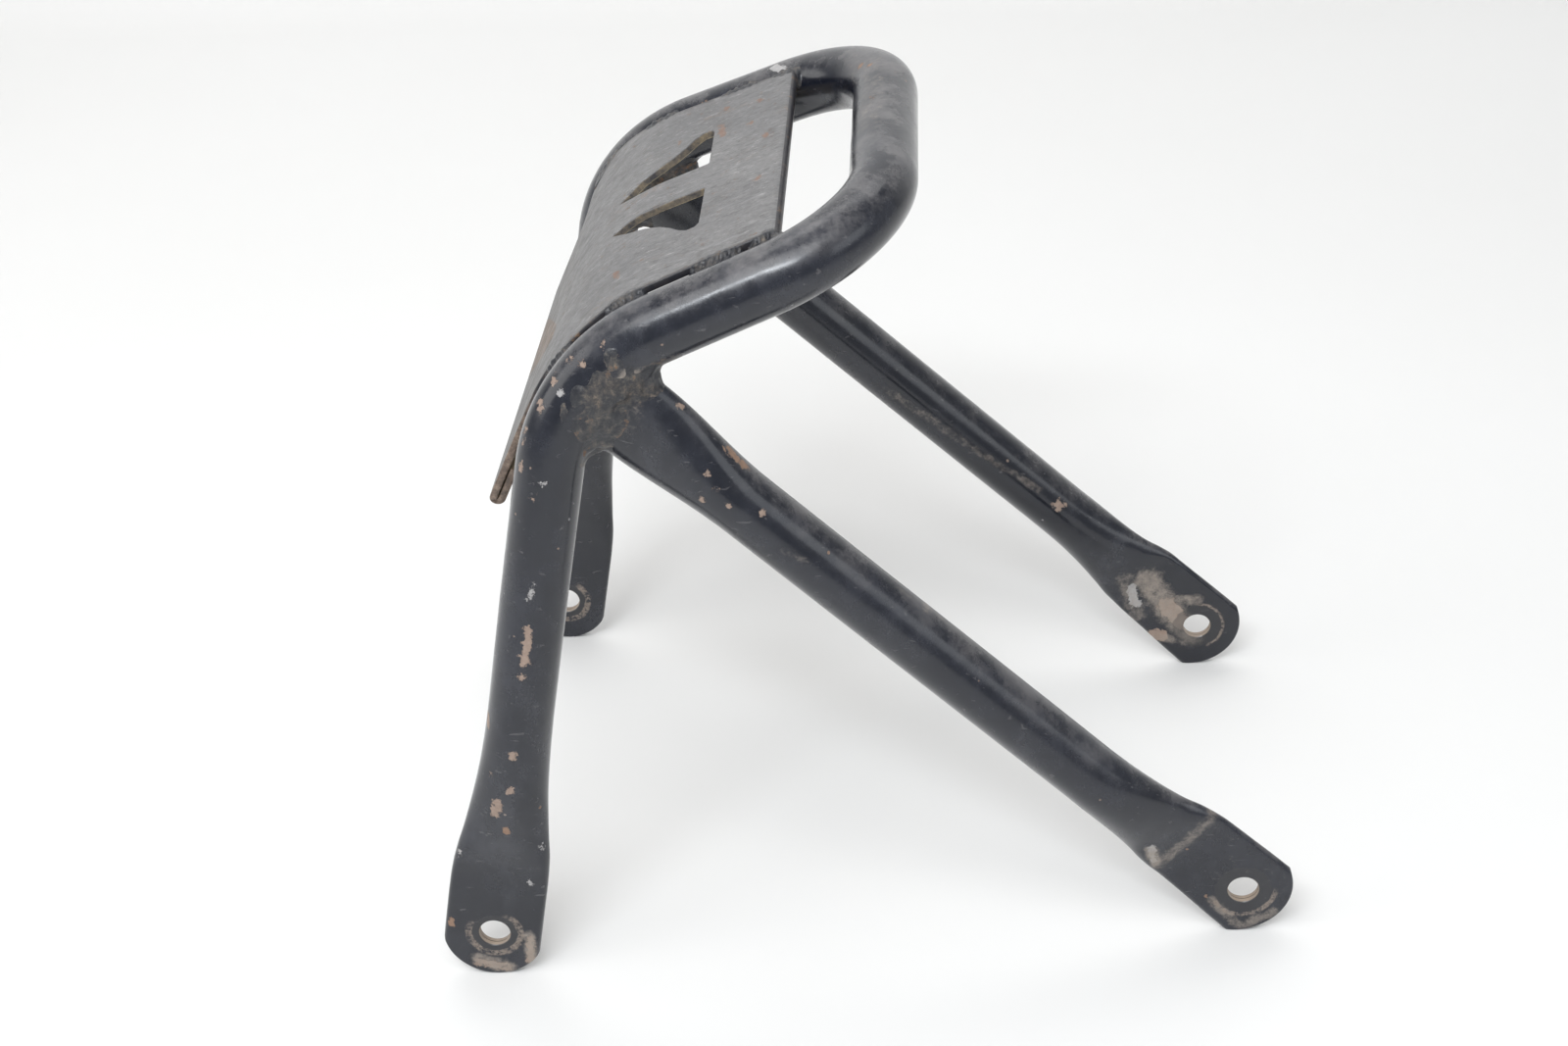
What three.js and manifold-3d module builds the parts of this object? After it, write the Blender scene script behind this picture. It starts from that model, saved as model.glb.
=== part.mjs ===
// Rear rack: a bent steel hoop standing on two flattened feet, two rear struts
// with flattened feet, and a folded sheet deck stitched between the hoop rails.
// Millimetres. +X runs to the rear of the rack, +Y to its right side, +Z up.
// The origin is the centre of the footprint, on the ground plane.
import * as THREE from 'three';
import { mergeVertices } from 'three/addons/utils/BufferGeometryUtils.js';
import Module from 'manifold-3d';

const wasm = await Module();
wasm.setup();

// ---------------------------------------------------------------- dimensions
const X_SHIFT = -132.0;            // front foot bolt axis to the footprint centre
const Z_SHIFT = 1.65;              // puts the lowest points of the feet on Z = 0
const TUBE_D = 22.2;               // tube outside diameter (7/8 in)
const WALL = 1.6;                  // tube wall
const GAP = 0.3;                   // clearance kept between neighbouring pieces

const FOOT_W = 34.4;               // width of a flattened foot
const FOOT_T = 3.7;                // thickness of a flattened foot, both layers
const HOLE_D = 11;                 // bolt hole in each foot
const HOLE_Z = 17.2;               // height of the bolt axes

const FRONT_HOLE_Y = 105.2;        // half spacing of the front feet
const REAR_HOLE_X = 264.25;        // rear bolt axis behind the front bolt axis
const REAR_HOLE_Y = 82.6;          // half spacing of the rear feet

const LEG_A = [7.7, 107.11, 60];           // a point low on the leg centreline
const BEND = [39.42, 83.69, 229.58];       // corner of leg and deck rail
const CORNER = [140.85, 73.36, 270.67];    // corner of deck rail and rear bar
const BEND_R = 61.6;               // centreline radius, leg to rail
const CORNER_R = 43.1;             // centreline radius, rail to rear bar

const STRUT_TOP = [57.3, 82.4, 215.3];     // strut line where it meets the bend
const STRUT_LOW = [218.46, 86.02, 61.04];  // strut line before its foot
const STRUT_TOP_T = 10;           // thickness of the flattened strut top
const COPE_R = 50.0;               // radius of the strut's coped end

const SHEET = 2.5;                 // deck sheet thickness
const HEM_GAP = 0.35;              // space inside a folded hem
const DECK_FRONT = [10.0, 176.2];  // lower front end of the deck's top surface
const DECK_KNEE_A = [28.1, 215.4]; // start of the deck's bend
const DECK_KNEE_B = [66.65, 252.2];// end of the deck's bend
const DECK_REAR = [108.0, 268.95]; // rear end of the deck's top surface
const DECK_KNEE_R = 72.4;          // outer radius of the deck's bend
const HEM_FRONT = 12;              // folded return at the front edge
const HEM_REAR = 9;                // folded return at the rear edge
const DECK_HALF_FRONT = 75.6;      // half width in front of the bend
const DECK_RAIL_OFFSET = 9.6;      // deck edge inboard of the rail centreline

// ------------------------------------------------------------------- helpers
const V = (a) => new THREE.Vector3(a[0], a[1], a[2]);
const mix = (a, b, t) => a + (b - a) * t;
const smooth = (t) => { const u = Math.min(1, Math.max(0, t)); return u * u * (3 - 2 * u); };

function toSolid(geometry) {
  const g = geometry.clone();
  g.deleteAttribute('normal');
  g.deleteAttribute('uv');
  const m = mergeVertices(g, 1e-5);
  const pos = m.attributes.position.array;
  const idx = Array.from(m.index.array);
  const keep = [];
  let vol = 0;
  for (let i = 0; i < idx.length; i += 3) {
    const [a, b, c] = [idx[i], idx[i + 1], idx[i + 2]];
    if (a === b || b === c || a === c) continue;
    keep.push(a, b, c);
    const p = (k) => [pos[3 * k], pos[3 * k + 1], pos[3 * k + 2]];
    const [A, B, C] = [p(a), p(b), p(c)];
    vol += A[0] * (B[1] * C[2] - B[2] * C[1]) - A[1] * (B[0] * C[2] - B[2] * C[0]) + A[2] * (B[0] * C[1] - B[1] * C[0]);
  }
  if (vol < 0) for (let i = 0; i < keep.length; i += 3) { const t = keep[i]; keep[i] = keep[i + 1]; keep[i + 1] = t; }
  return new wasm.Manifold(new wasm.Mesh({
    numProp: 3,
    vertProperties: new Float32Array(pos),
    triVerts: new Uint32Array(keep),
  }));
}

function toGeometry(solid) {
  const mesh = solid.getMesh();
  const g = new THREE.BufferGeometry();
  g.setAttribute('position', new THREE.BufferAttribute(new Float32Array(mesh.vertProperties), 3));
  g.setIndex(new THREE.BufferAttribute(new Uint32Array(mesh.triVerts), 1));
  g.computeVertexNormals();
  return g;
}

// A solid swept through a list of stations. Each station has a centre c, a
// width axis w, a thickness axis t, and the width W and thickness T of an
// oblong section: two half circles of diameter T joined by flats. The base is
// a cylinder whose rings are moved onto the stations.
function sweep(stations, sides) {
  const n = stations.length - 1;
  const g = new THREE.CylinderGeometry(1, 1, 1, sides, n, false, Math.PI / sides);
  const p = g.attributes.position;
  for (let i = 0; i < p.count; i++) {
    const s = stations[Math.round((0.5 - p.getY(i)) * n)];
    const a = p.getX(i), b = p.getZ(i);
    const flat = (s.W - s.T) / 2;
    const wa = a * s.T / 2 + (Math.abs(a) < 1e-6 ? 0 : Math.sign(a) * flat);
    const tb = b * s.T / 2;
    p.setXYZ(i,
      s.c[0] + s.w[0] * wa + s.t[0] * tb,
      s.c[1] + s.w[1] * wa + s.t[1] * tb,
      s.c[2] + s.w[2] * wa + s.t[2] * tb);
  }
  return toSolid(g);
}

// Width of a round tube once it is squeezed to thickness t: the wall's
// length around the section stays the same, with a little stretch.
function squeezed(t) {
  const full = FOOT_T + Math.PI * (TUBE_D - FOOT_T) / 2;
  return t + Math.PI * (TUBE_D - t) / 2 * mix(1, (FOOT_W - FOOT_T) / (full - FOOT_T), (TUBE_D - t) / (TUBE_D - FOOT_T));
}

function frames(list) {
  // list: [{c:[x,y,z], T}], adds the section axes from the path's direction
  let last = null;
  return list.map((s, i) => {
    const a = V(list[Math.max(0, i - 1)].c), b = V(list[Math.min(list.length - 1, i + 1)].c);
    const d = s.d ? V(s.d).normalize() : b.sub(a).normalize();
    let w = new THREE.Vector3(0, 1, 0).cross(d);
    if (w.length() < 0.25 && last) w = last.clone();
    w.normalize();
    last = w.clone();
    const t = d.clone().cross(w).normalize();
    // o moves the section sideways along its width
    return { c: V(s.c).addScaledVector(w, s.o ?? 0).toArray(), w: w.toArray(), t: t.toArray(), W: s.W ?? squeezed(s.T), T: s.T };
  });
}

const grow = (stations, e) => stations.map((s) => ({ ...s, W: s.W + 2 * e, T: Math.max(0.5, s.T + 2 * e) }));
const mirrorY = (solid) => {
  const mesh = solid.getMesh();
  const g = new THREE.BufferGeometry();
  const pos = new Float32Array(mesh.vertProperties);
  for (let i = 1; i < pos.length; i += 3) pos[i] = -pos[i];
  g.setAttribute('position', new THREE.BufferAttribute(pos, 3));
  g.setIndex(new THREE.BufferAttribute(new Uint32Array(mesh.triVerts), 1));
  return toSolid(g);
};

// A flat outline in the X-Z plane, extruded along Y between y0 and y1.
function prismXZ(points, y0, y1, holes = []) {
  const shape = new THREE.Shape(points.map((q) => new THREE.Vector2(q[0], q[1])));
  for (const h of holes) shape.holes.push(new THREE.Path(h.map((q) => new THREE.Vector2(q[0], q[1]))));
  const g = new THREE.ExtrudeGeometry(shape, { depth: y1 - y0, bevelEnabled: false, steps: 1 });
  g.rotateX(Math.PI / 2);          // shape's Y becomes Z, depth runs along -Y
  g.translate(0, y1, 0);
  return toSolid(g);
}

// A flat outline in the X-Y plane, extruded along Z between z0 and z1.
function prismXY(points, z0, z1) {
  const shape = new THREE.Shape(points.map((q) => new THREE.Vector2(q[0], q[1])));
  const g = new THREE.ExtrudeGeometry(shape, { depth: z1 - z0, bevelEnabled: false, steps: 1 });
  g.translate(0, 0, z0);
  return toSolid(g);
}

// The biggest of the separate bodies left by a cut.
function largest(solid) {
  const parts = solid.decompose();
  return parts.reduce((a, b) => (b.volume() > a.volume() ? b : a));
}

function boltHole(x, y, z) {
  const g = new THREE.CylinderGeometry(HOLE_D / 2, HOLE_D / 2, 40, 28);
  g.translate(x, y, z);
  return toSolid(g);
}

// Everything below a foot's bolt axis that lies outside its rounded end.
// along is the direction, in X-Z, from the bolt axis to the foot's tip; the
// end's arc has radius r and is centred a0 along and b0 across from the axis.
function footEnd(x, z, along, y, a0, b0, r) {
  const [ax, az] = along, [bx, bz] = [-az, ax];
  const at = (p, q) => [x + bx * (p + b0) + ax * (q + a0), z + bz * (p + b0) + az * (q + a0)];
  const pts = [at(-40, 0), at(-40, 40), at(40, 40), at(40, 0)];
  for (let k = 0; k <= 24; k++) {
    const f = Math.PI * k / 24;
    pts.push(at(r * Math.cos(f), r * Math.sin(f)));
  }
  return prismXZ(pts, y - 20, y + 20);
}

// ---------------------------------------------------------------- hoop tube
function fillet(A, B, C, r, steps) {
  const a = V(A).sub(V(B)).normalize(), b = V(C).sub(V(B)).normalize();
  const ang = Math.acos(a.dot(b));
  const t = r / Math.tan(ang / 2);
  const p0 = V(B).addScaledVector(a, t), p1 = V(B).addScaledVector(b, t);
  const bis = a.clone().add(b).normalize();
  const c = V(B).addScaledVector(bis, r / Math.sin(ang / 2));
  const e0 = p0.clone().sub(c), e1 = p1.clone().sub(c);
  const w = Math.PI - ang;
  const out = [];
  for (let k = 0; k <= steps; k++) {
    const s = k / steps;
    const q = e0.clone().multiplyScalar(Math.sin((1 - s) * w) / Math.sin(w)).addScaledVector(e1, Math.sin(s * w) / Math.sin(w));
    out.push(c.clone().add(q).toArray());
  }
  return out;
}

const legSlopeX = (BEND[0] - LEG_A[0]) / (BEND[2] - LEG_A[2]);
const legSlopeY = (BEND[1] - LEG_A[1]) / (BEND[2] - LEG_A[2]);
const legX = (z) => LEG_A[0] + legSlopeX * (z - LEG_A[2]);
const FLAT_Z = 47, ROUND_Z = 90;   // where the leg is fully flat, and round again
function legY(z) {
  if (z >= ROUND_Z) return LEG_A[1] + legSlopeY * (z - LEG_A[2]);
  if (z <= FLAT_Z) return FRONT_HOLE_Y;
  const h = ROUND_Z - FLAT_Z, s = (z - FLAT_Z) / h;
  const yr = LEG_A[1] + legSlopeY * (ROUND_Z - LEG_A[2]);
  return FRONT_HOLE_Y * (2 * s ** 3 - 3 * s ** 2 + 1) + yr * (3 * s ** 2 - 2 * s ** 3) + legSlopeY * h * (s ** 3 - s ** 2);
}
// the leg's section: height, width, sideways offset, thickness
const LEG_SECTION = [[-6, 34.4, -0.65, 3.7], [30, 34.2, -0.6, 3.7], [40, 34.0, -0.5, 3.7], [46.7, 33.4, -0.35, 4.6], [53.6, 32.1, -0.1, 6.9],
  [61.4, 29.7, 0.05, 10.4], [71.3, 27.1, 0.15, 14.1], [81.1, 24.9, 0.2, 17.7], [92, 23.3, 0.3, 20.2], [101.7, 22.5, 0.3, 21.7], [110.6, 22.2, 0.25, 22.2]];

function hoopHalf(extra) {
  // left half, from the foot to the middle of the rear bar
  const pts = [];
  for (const [h, W, o, T] of LEG_SECTION) {
    const z = h < 0 ? h - extra : h;
    pts.push({ c: [legX(z), -legY(z), z], W, o, T, ...(h < 47 ? { d: [legSlopeX, 0, 1] } : {}) });
  }
  const A = [legX(ROUND_Z), -legY(ROUND_Z), ROUND_Z];
  const B = [BEND[0], -BEND[1], BEND[2]], C = [CORNER[0], -CORNER[1], CORNER[2]];
  for (const q of fillet(A, B, C, BEND_R, 10)) pts.push({ c: q, T: TUBE_D });
  for (const q of fillet(B, C, [CORNER[0], 0, CORNER[2]], CORNER_R, 11)) pts.push({ c: q, T: TUBE_D });
  pts.push({ c: [CORNER[0], 0, CORNER[2]], T: TUBE_D, d: [0, 1, 0] });
  return frames(pts);
}
function hoopStations(extra) {
  const half = hoopHalf(extra);
  const m = half.slice(0, -1).reverse().map((s) => ({
    ...s, c: [s.c[0], -s.c[1], s.c[2]], w: [s.w[0], -s.w[1], s.w[2]], t: [s.t[0], -s.t[1], s.t[2]],
  }));
  return [...half, ...m];
}

const legDown = new THREE.Vector2(-legSlopeX, -1).normalize();
let hoop = sweep(hoopStations(0), 24).subtract(sweep(grow(hoopStations(3), -WALL), 12));
for (const s of [-1, 1]) {
  hoop = hoop.subtract(footEnd(legX(HOLE_Z), HOLE_Z, [legDown.x, legDown.y], s * FRONT_HOLE_Y, 1.2, -0.4, 17.7));
  hoop = hoop.subtract(boltHole(legX(HOLE_Z), s * FRONT_HOLE_Y, HOLE_Z));
}
const hoopKeepOut = sweep(grow(hoopStations(0), GAP + 0.05), 24);

// centre of the leg-to-rail bend, seen from the side
const bendArc = fillet([legX(ROUND_Z), -legY(ROUND_Z), ROUND_Z], [BEND[0], -BEND[1], BEND[2]], [CORNER[0], -CORNER[1], CORNER[2]], BEND_R, 2);
const BEND_C = [93.8, 185.1];

// ------------------------------------------------------------------- struts
const strutDir = new THREE.Vector2(REAR_HOLE_X - STRUT_LOW[0], HOLE_Z - STRUT_LOW[2]).normalize();
// the strut's section near its foot: distance back from the bolt axis, how far
// the section reaches above and below the strut's line, thickness
const STRUT_SECTION = [[-20, 17.2, 18.4, 3.7], [-8.5, 17.2, 17.6, 3.7], [0, 17.2, 17.3, 3.7], [14, 17.0, 16.5, 3.7], [25, 16.8, 16.0, 3.7], [30, 16.6, 15.8, 4.2],
  [37, 15.6, 15.4, 7.5], [44, 13.8, 14.2, 11.5], [52, 12.6, 13.0, 15.5], [60, 11.9, 12.1, 18.5], [69, 11.4, 11.5, 20.8], [78, 11.1, 11.2, 21.9], [88, 11.0, 11.2, 22.2]];
function strutStations(extraTop, extraEnd) {
  const foot = new THREE.Vector2(REAR_HOLE_X, HOLE_Z);
  const len = foot.distanceTo(new THREE.Vector2(STRUT_TOP[0], 219.9));
  const slopeY = (STRUT_LOW[1] - STRUT_TOP[1]) / (len - foot.distanceTo(new THREE.Vector2(STRUT_LOW[0], STRUT_LOW[2])));
  const pts = [];
  const at = (q) => {            // q: distance back from the bolt axis
    const x = foot.x - strutDir.x * q, z = foot.y - strutDir.y * q;
    let y = STRUT_TOP[1] + slopeY * (len - q) - 3.1 * smooth((74 - q) / 40);
    const yFlat = STRUT_TOP[1] + slopeY * (len - 34) - 3.1;
    if (q < 34) y = mix(yFlat, REAR_HOLE_Y, smooth((34 - q) / 9));
    let T = TUBE_D;
    if (q > len - 46) T = mix(TUBE_D, STRUT_TOP_T, smooth(Math.min(1, (q - (len - 46)) / 40) * 0.98));
    return { c: [x, -y, z], T, d: [strutDir.x, -(q < 74 ? 0 : 0.016), strutDir.y] };
  };
  for (const q of [len + 10 + extraTop, len + 2, len - 6, len - 14, len - 22, len - 30, len - 38, len - 46]) pts.push(at(q));
  for (const [q, up, low, T] of STRUT_SECTION.slice().reverse()) {
    const s = at(q < -10 ? q - extraEnd : q);
    pts.push({ ...s, T, W: up + low, o: (low - up) / 2 });
  }
  // the section narrows and thickens along the run; keep the path's own frames
  return frames(pts);
}
const cope = (() => {             // everything outside the coped end's circle
  const ring = [], N = 72;
  for (let k = 0; k < N; k++) ring.push([BEND_C[0] + COPE_R * Math.cos(2 * Math.PI * k / N), BEND_C[1] + COPE_R * Math.sin(2 * Math.PI * k / N)]);
  // only the side of the bend is cut: a block round the strut's upper end
  const d = strutDir, n = [-d.y, d.x];
  const at = (p, q) => [BEND_C[0] + n[0] * p - d.x * q, BEND_C[1] + n[1] * p - d.y * q];
  const block = prismXZ([at(-45, 20), at(45, 20), at(45, 120), at(-45, 120)], -110, -55);
  return block.subtract(prismXZ(ring, -112, -53));
})();
let strut = sweep(strutStations(0, 0), 24).subtract(sweep(grow(strutStations(3, 3), -WALL), 12));
strut = strut.subtract(cope);
strut = strut.subtract(footEnd(REAR_HOLE_X, HOLE_Z, [strutDir.x, strutDir.y], -REAR_HOLE_Y, -2.7, -1.0, 20.0));
strut = strut.subtract(boltHole(REAR_HOLE_X, -REAR_HOLE_Y, HOLE_Z));
strut = strut.subtract(hoopKeepOut);
const strutKeepOut = sweep(grow(strutStations(0, 0), GAP + 0.05), 24);

// --------------------------------------------------------------------- deck
// Middle line of the sheet in X-Z, from the front return to the rear return.
function deckPath(depth) {
  // depth: how far below the top surface the line runs
  const out = [];
  const off = (p, q, n) => [p + n[0] * q, n[1] * q];
  const d1 = new THREE.Vector2(DECK_KNEE_A[0] - DECK_FRONT[0], DECK_KNEE_A[1] - DECK_FRONT[1]).normalize();
  const d2 = new THREE.Vector2(DECK_REAR[0] - DECK_KNEE_B[0], DECK_REAR[1] - DECK_KNEE_B[1]).normalize();
  const n1 = [d1.y, -d1.x], n2 = [d2.y, -d2.x];      // into the sheet
  const r = SHEET + HEM_GAP / 2;                     // outside radius of a hem
  const rr = Math.max(0.02, r - depth);
  // front hem: return end, fold, then up the front slope
  const fc = [DECK_FRONT[0] + d1.x * r + n1[0] * r, DECK_FRONT[1] + d1.y * r + n1[1] * r];
  out.push([fc[0] + n1[0] * rr + d1.x * HEM_FRONT, fc[1] + n1[1] * rr + d1.y * HEM_FRONT]);
  for (let k = 0; k <= 8; k++) {
    const f = Math.PI * k / 8;
    out.push([fc[0] + n1[0] * rr * Math.cos(f) - d1.x * rr * Math.sin(f), fc[1] + n1[1] * rr * Math.cos(f) - d1.y * rr * Math.sin(f)]);
  }
  const R = DECK_KNEE_R - depth;
  const f0 = Math.atan2(DECK_KNEE_A[1] - BEND_C[1], DECK_KNEE_A[0] - BEND_C[0]);
  const f1 = Math.atan2(DECK_KNEE_B[1] - BEND_C[1], DECK_KNEE_B[0] - BEND_C[0]);
  for (let k = 0; k <= 12; k++) {
    const f = mix(f0, f1, k / 12);
    out.push([BEND_C[0] + R * Math.cos(f), BEND_C[1] + R * Math.sin(f)]);
  }
  const rc = [DECK_REAR[0] - d2.x * r + n2[0] * r, DECK_REAR[1] - d2.y * r + n2[1] * r];
  for (let k = 0; k <= 8; k++) {
    const f = Math.PI * k / 8;
    out.push([rc[0] - n2[0] * rr * Math.cos(f) + d2.x * rr * Math.sin(f), rc[1] - n2[1] * rr * Math.cos(f) + d2.y * rr * Math.sin(f)]);
  }
  out.push([rc[0] + n2[0] * rr - d2.x * HEM_REAR, rc[1] + n2[1] * rr - d2.y * HEM_REAR]);
  return out;
}
const railY = (x) => BEND[1] + (x - BEND[0]) * (CORNER[1] - BEND[1]) / (CORNER[0] - BEND[0]);
function deckPlan(e) {             // half width outline seen from above, grown by e
  const x1 = 52;
  const right = [[-20, DECK_HALF_FRONT + e], [44, DECK_HALF_FRONT + e], [x1, railY(x1) - DECK_RAIL_OFFSET + e], [120, railY(120) - DECK_RAIL_OFFSET + e]];
  return [...right, ...right.slice().reverse().map((q) => [q[0], -q[1]])];
}
const sheetOutline = [...deckPath(0), ...deckPath(SHEET).reverse()];
let deck = prismXZ(sheetOutline, -90, 90).intersect(prismXY(deckPlan(0), 150, 290));

// Pair of tapering cut-outs. Each is a long three-cornered opening: a straight
// inner edge along the deck, a square rear edge and a slanted outer edge.
const CUT = [[49.0, 12.6], [53.8, 10.4], [58.8, 9.6], [71.4, 9.8], [80.2, 9.9], [80.7, 10.5], [80.7, 37.2], [79.6, 39.2], [76.9, 39.6],
  [73.9, 36.8], [71.1, 32.6], [67.4, 28.2], [62.4, 24.4], [56.0, 20.6], [49.4, 13.6]];
for (const s of [-1, 1]) {
  const pts = CUT.map((q) => [q[0], s * q[1]]);
  const g = prismXY(pts, -40, 40);
  // laid across the deck: the outline is given at the top surface, from above
  deck = deck.subtract(g.translate([0, 0, 250]));
}
// the folded returns are relieved where they pass the rails
deck = largest(deck.subtract(hoopKeepOut));
const deckKeepOut = prismXZ([...deckPath(-(GAP + 0.05)), ...deckPath(SHEET + GAP + 0.05).reverse()], -90, 90)
  .intersect(prismXY(deckPlan(GAP + 0.05), 150, 290));

// -------------------------------------------------------------------- welds
// A run of weld: an oblong section swept along points, tapered at both ends.
function bead(points, width, height, normals) {
  const n = points.length - 1;
  const list = points.map((c, i) => {
    const a = V(points[Math.max(0, i - 1)]), b = V(points[Math.min(n, i + 1)]);
    const d = b.sub(a).normalize();
    const nn = V(normals[i]);
    const w = nn.clone().cross(d).normalize();
    const t = d.clone().cross(w).normalize();
    const s = i / n;
    const f = Math.max(0.3, Math.pow(Math.sin(Math.PI * Math.min(0.97, Math.max(0.03, s))), 0.35));
    return { c, w: w.toArray(), t: t.toArray(), W: width * f, T: height * f };
  });
  return sweep(list, 8);
}
// rail frame on the left side at distance u behind the bend's end, or at an
// angle along the bend
function railPoint(kind, v, lateral, rise) {
  const inward = 1;                // towards the middle of the rack
  if (kind === 'bend') {
    const f = v * Math.PI / 180;
    const r = BEND_R + rise;
    const x = BEND_C[0] + r * Math.cos(f), z = BEND_C[1] + r * Math.sin(f);
    const zc = BEND_C[1] + BEND_R * Math.sin(f);
    const xc = BEND_C[0] + BEND_R * Math.cos(f);
    // centreline half width along the bend
    let best = 1e9, y = 0;
    for (const q of fillet([legX(ROUND_Z), -legY(ROUND_Z), ROUND_Z], [BEND[0], -BEND[1], BEND[2]], [CORNER[0], -CORNER[1], CORNER[2]], BEND_R, 40)) {
      const e = Math.hypot(q[0] - xc, q[2] - zc);
      if (e < best) { best = e; y = q[1]; }
    }
    return { c: [x, y + inward * lateral, z], n: [Math.cos(f), 0, Math.sin(f)] };
  }
  const d = V(CORNER).sub(V(BEND)); d.y = -(CORNER[1] - BEND[1]); d.normalize();
  const up = new THREE.Vector3(-d.z, 0, d.x).normalize();
  const c = new THREE.Vector3(v, -railY(v), mix(BEND[2], CORNER[2], (v - BEND[0]) / (CORNER[0] - BEND[0])));
  c.addScaledVector(up, rise); c.y += inward * lateral;
  return { c: c.toArray(), n: up.toArray() };
}
const line = (kind, v0, v1, lateral, rise, steps) => {
  const out = [];
  for (let k = 0; k <= steps; k++) out.push(railPoint(kind, mix(v0, v1, k / steps), lateral, rise));
  return out;
};
function deckWeld(kind, v0, v1, lateral = 6.7, rise = 9.6) {
  const l = line(kind, v0, v1, lateral, rise, 7);
  return largest(bead(l.map((q) => q.c), 6.0, 3.6, l.map((q) => [q.n[0], q.n[1] - 0.5, q.n[2]]))
    .subtract(hoopKeepOut).subtract(deckKeepOut));
}
// weld along the strut's coped end, on its outer (side -1) or inner face
function strutWeld(a0, a1, side, radius, out, width, height) {
  const pts = [], nn = [];
  for (let k = 0; k <= 9; k++) {
    const f = mix(a0, a1, k / 9) * Math.PI / 180;
    const y = -82.6 + side * (STRUT_TOP_T / 2 + out);
    pts.push([BEND_C[0] + radius * Math.cos(f), y, BEND_C[1] + radius * Math.sin(f)]);
    nn.push([-0.6 * Math.cos(f), 0.8 * side, -0.6 * Math.sin(f)]);
  }
  return largest(bead(pts, width, height, nn).subtract(hoopKeepOut).subtract(strutKeepOut));
}

const leftWelds = {
  weld_deck_left_front: deckWeld('bend', 148, 137, 6.6, 9.6),
  weld_deck_left_bend: deckWeld('bend', 125, 113.5, 7.0, 9.6),
  weld_deck_left_mid: deckWeld('rail', 81, 96),
  weld_deck_left_rear: deckWeld('rail', 100, 111.5),
  weld_strut_left_outer_upper: strutWeld(134.5, 114, -1, 48.9, 2.4, 10.5, 5.6),
  weld_strut_left_outer_lower: strutWeld(160, 137, -1, 49.6, 2.6, 10.5, 5.6),
  weld_strut_left_inner: strutWeld(156, 117, 1, 48.6, 1.4, 8.0, 4.6),
};

// ----------------------------------------------------------------- assembly
const tubePaint = { color: 0x1b1c20, roughness: 0.32, metalness: 0.15 };
const platePaint = { color: 0x77787a, roughness: 0.55, metalness: 0.35 };
const weldPaint = { color: 0x2a2826, roughness: 0.6, metalness: 0.2 };

const rack = new THREE.Group();
function put(name, solid, look) {
  const mesh = new THREE.Mesh(toGeometry(solid), new THREE.MeshStandardMaterial(look));
  mesh.name = name;
  mesh.position.set(X_SHIFT, 0, Z_SHIFT);
  rack.add(mesh);
}
put('main_hoop_tube', hoop, tubePaint);
put('left_strut_tube', strut, tubePaint);
put('right_strut_tube', mirrorY(strut), tubePaint);
put('deck_plate', deck, platePaint);
for (const [name, solid] of Object.entries(leftWelds)) {
  put(name, solid, weldPaint);
  put(name.replace('left', 'right'), mirrorY(solid), weldPaint);
}

export default rack;
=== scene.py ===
import math
import bpy
import bmesh
import numpy as np
from mathutils import Vector, Matrix


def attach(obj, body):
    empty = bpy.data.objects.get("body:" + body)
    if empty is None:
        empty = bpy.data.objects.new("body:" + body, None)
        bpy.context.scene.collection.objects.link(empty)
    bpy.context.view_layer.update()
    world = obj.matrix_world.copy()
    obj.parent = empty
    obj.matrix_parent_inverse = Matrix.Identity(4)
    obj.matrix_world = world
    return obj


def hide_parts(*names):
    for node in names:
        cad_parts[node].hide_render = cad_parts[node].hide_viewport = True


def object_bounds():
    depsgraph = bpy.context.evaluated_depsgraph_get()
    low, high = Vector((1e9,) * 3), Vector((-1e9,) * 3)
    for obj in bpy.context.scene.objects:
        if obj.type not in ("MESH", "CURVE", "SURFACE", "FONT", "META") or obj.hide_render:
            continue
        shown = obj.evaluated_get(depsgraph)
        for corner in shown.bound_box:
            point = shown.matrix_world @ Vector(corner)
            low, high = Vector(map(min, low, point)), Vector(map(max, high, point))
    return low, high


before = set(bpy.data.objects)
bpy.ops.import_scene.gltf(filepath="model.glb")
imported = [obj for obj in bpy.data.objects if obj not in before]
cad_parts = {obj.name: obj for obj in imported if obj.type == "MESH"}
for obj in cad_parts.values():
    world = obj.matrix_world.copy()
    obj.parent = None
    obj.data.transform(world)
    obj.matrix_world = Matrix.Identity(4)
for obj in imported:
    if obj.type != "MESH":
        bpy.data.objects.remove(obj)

cad_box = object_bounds()
MM = 0.001

# ------------------------------------------------------------------ geometry
# All construction below is in millimetres in the rack's own side view, with
# x measured from the front bolt axis; SHIFT and LIFT move it onto the frame.
SHIFT, LIFT = -132.0, 1.65
TUBE_D, FOOT_T, FOOT_W, HOLE_R, HOLE_Z = 22.2, 3.7, 34.4, 5.5, 17.2
FRONT_HOLE_Y, REAR_HOLE_X, REAR_HOLE_Y = 105.2, 264.25, 82.6
LEG_A, BEND, CORNER = (7.7, 107.11, 60.0), (39.42, 83.69, 229.58), (140.85, 73.36, 270.67)
BEND_R, CORNER_R = 61.6, 43.1
BEND_C = (93.8, 185.1)
STRUT_TOP, STRUT_LOW, STRUT_TOP_T = (57.3, 82.4), (218.46, 86.02, 61.04), 6.0
FLAT_Z, ROUND_Z = 47.0, 90.0
SHEET, HEM_GAP = 2.5, 0.35
DECK_FRONT, KNEE_A, KNEE_B, DECK_REAR = (10.0, 176.2), (28.1, 215.4), (66.65, 252.2), (108.0, 268.95)
KNEE_R, HEM_FRONT, HEM_REAR = 72.4, 12.0, 9.0
DECK_HALF, RAIL_OFFSET = 75.6, 9.6


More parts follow.
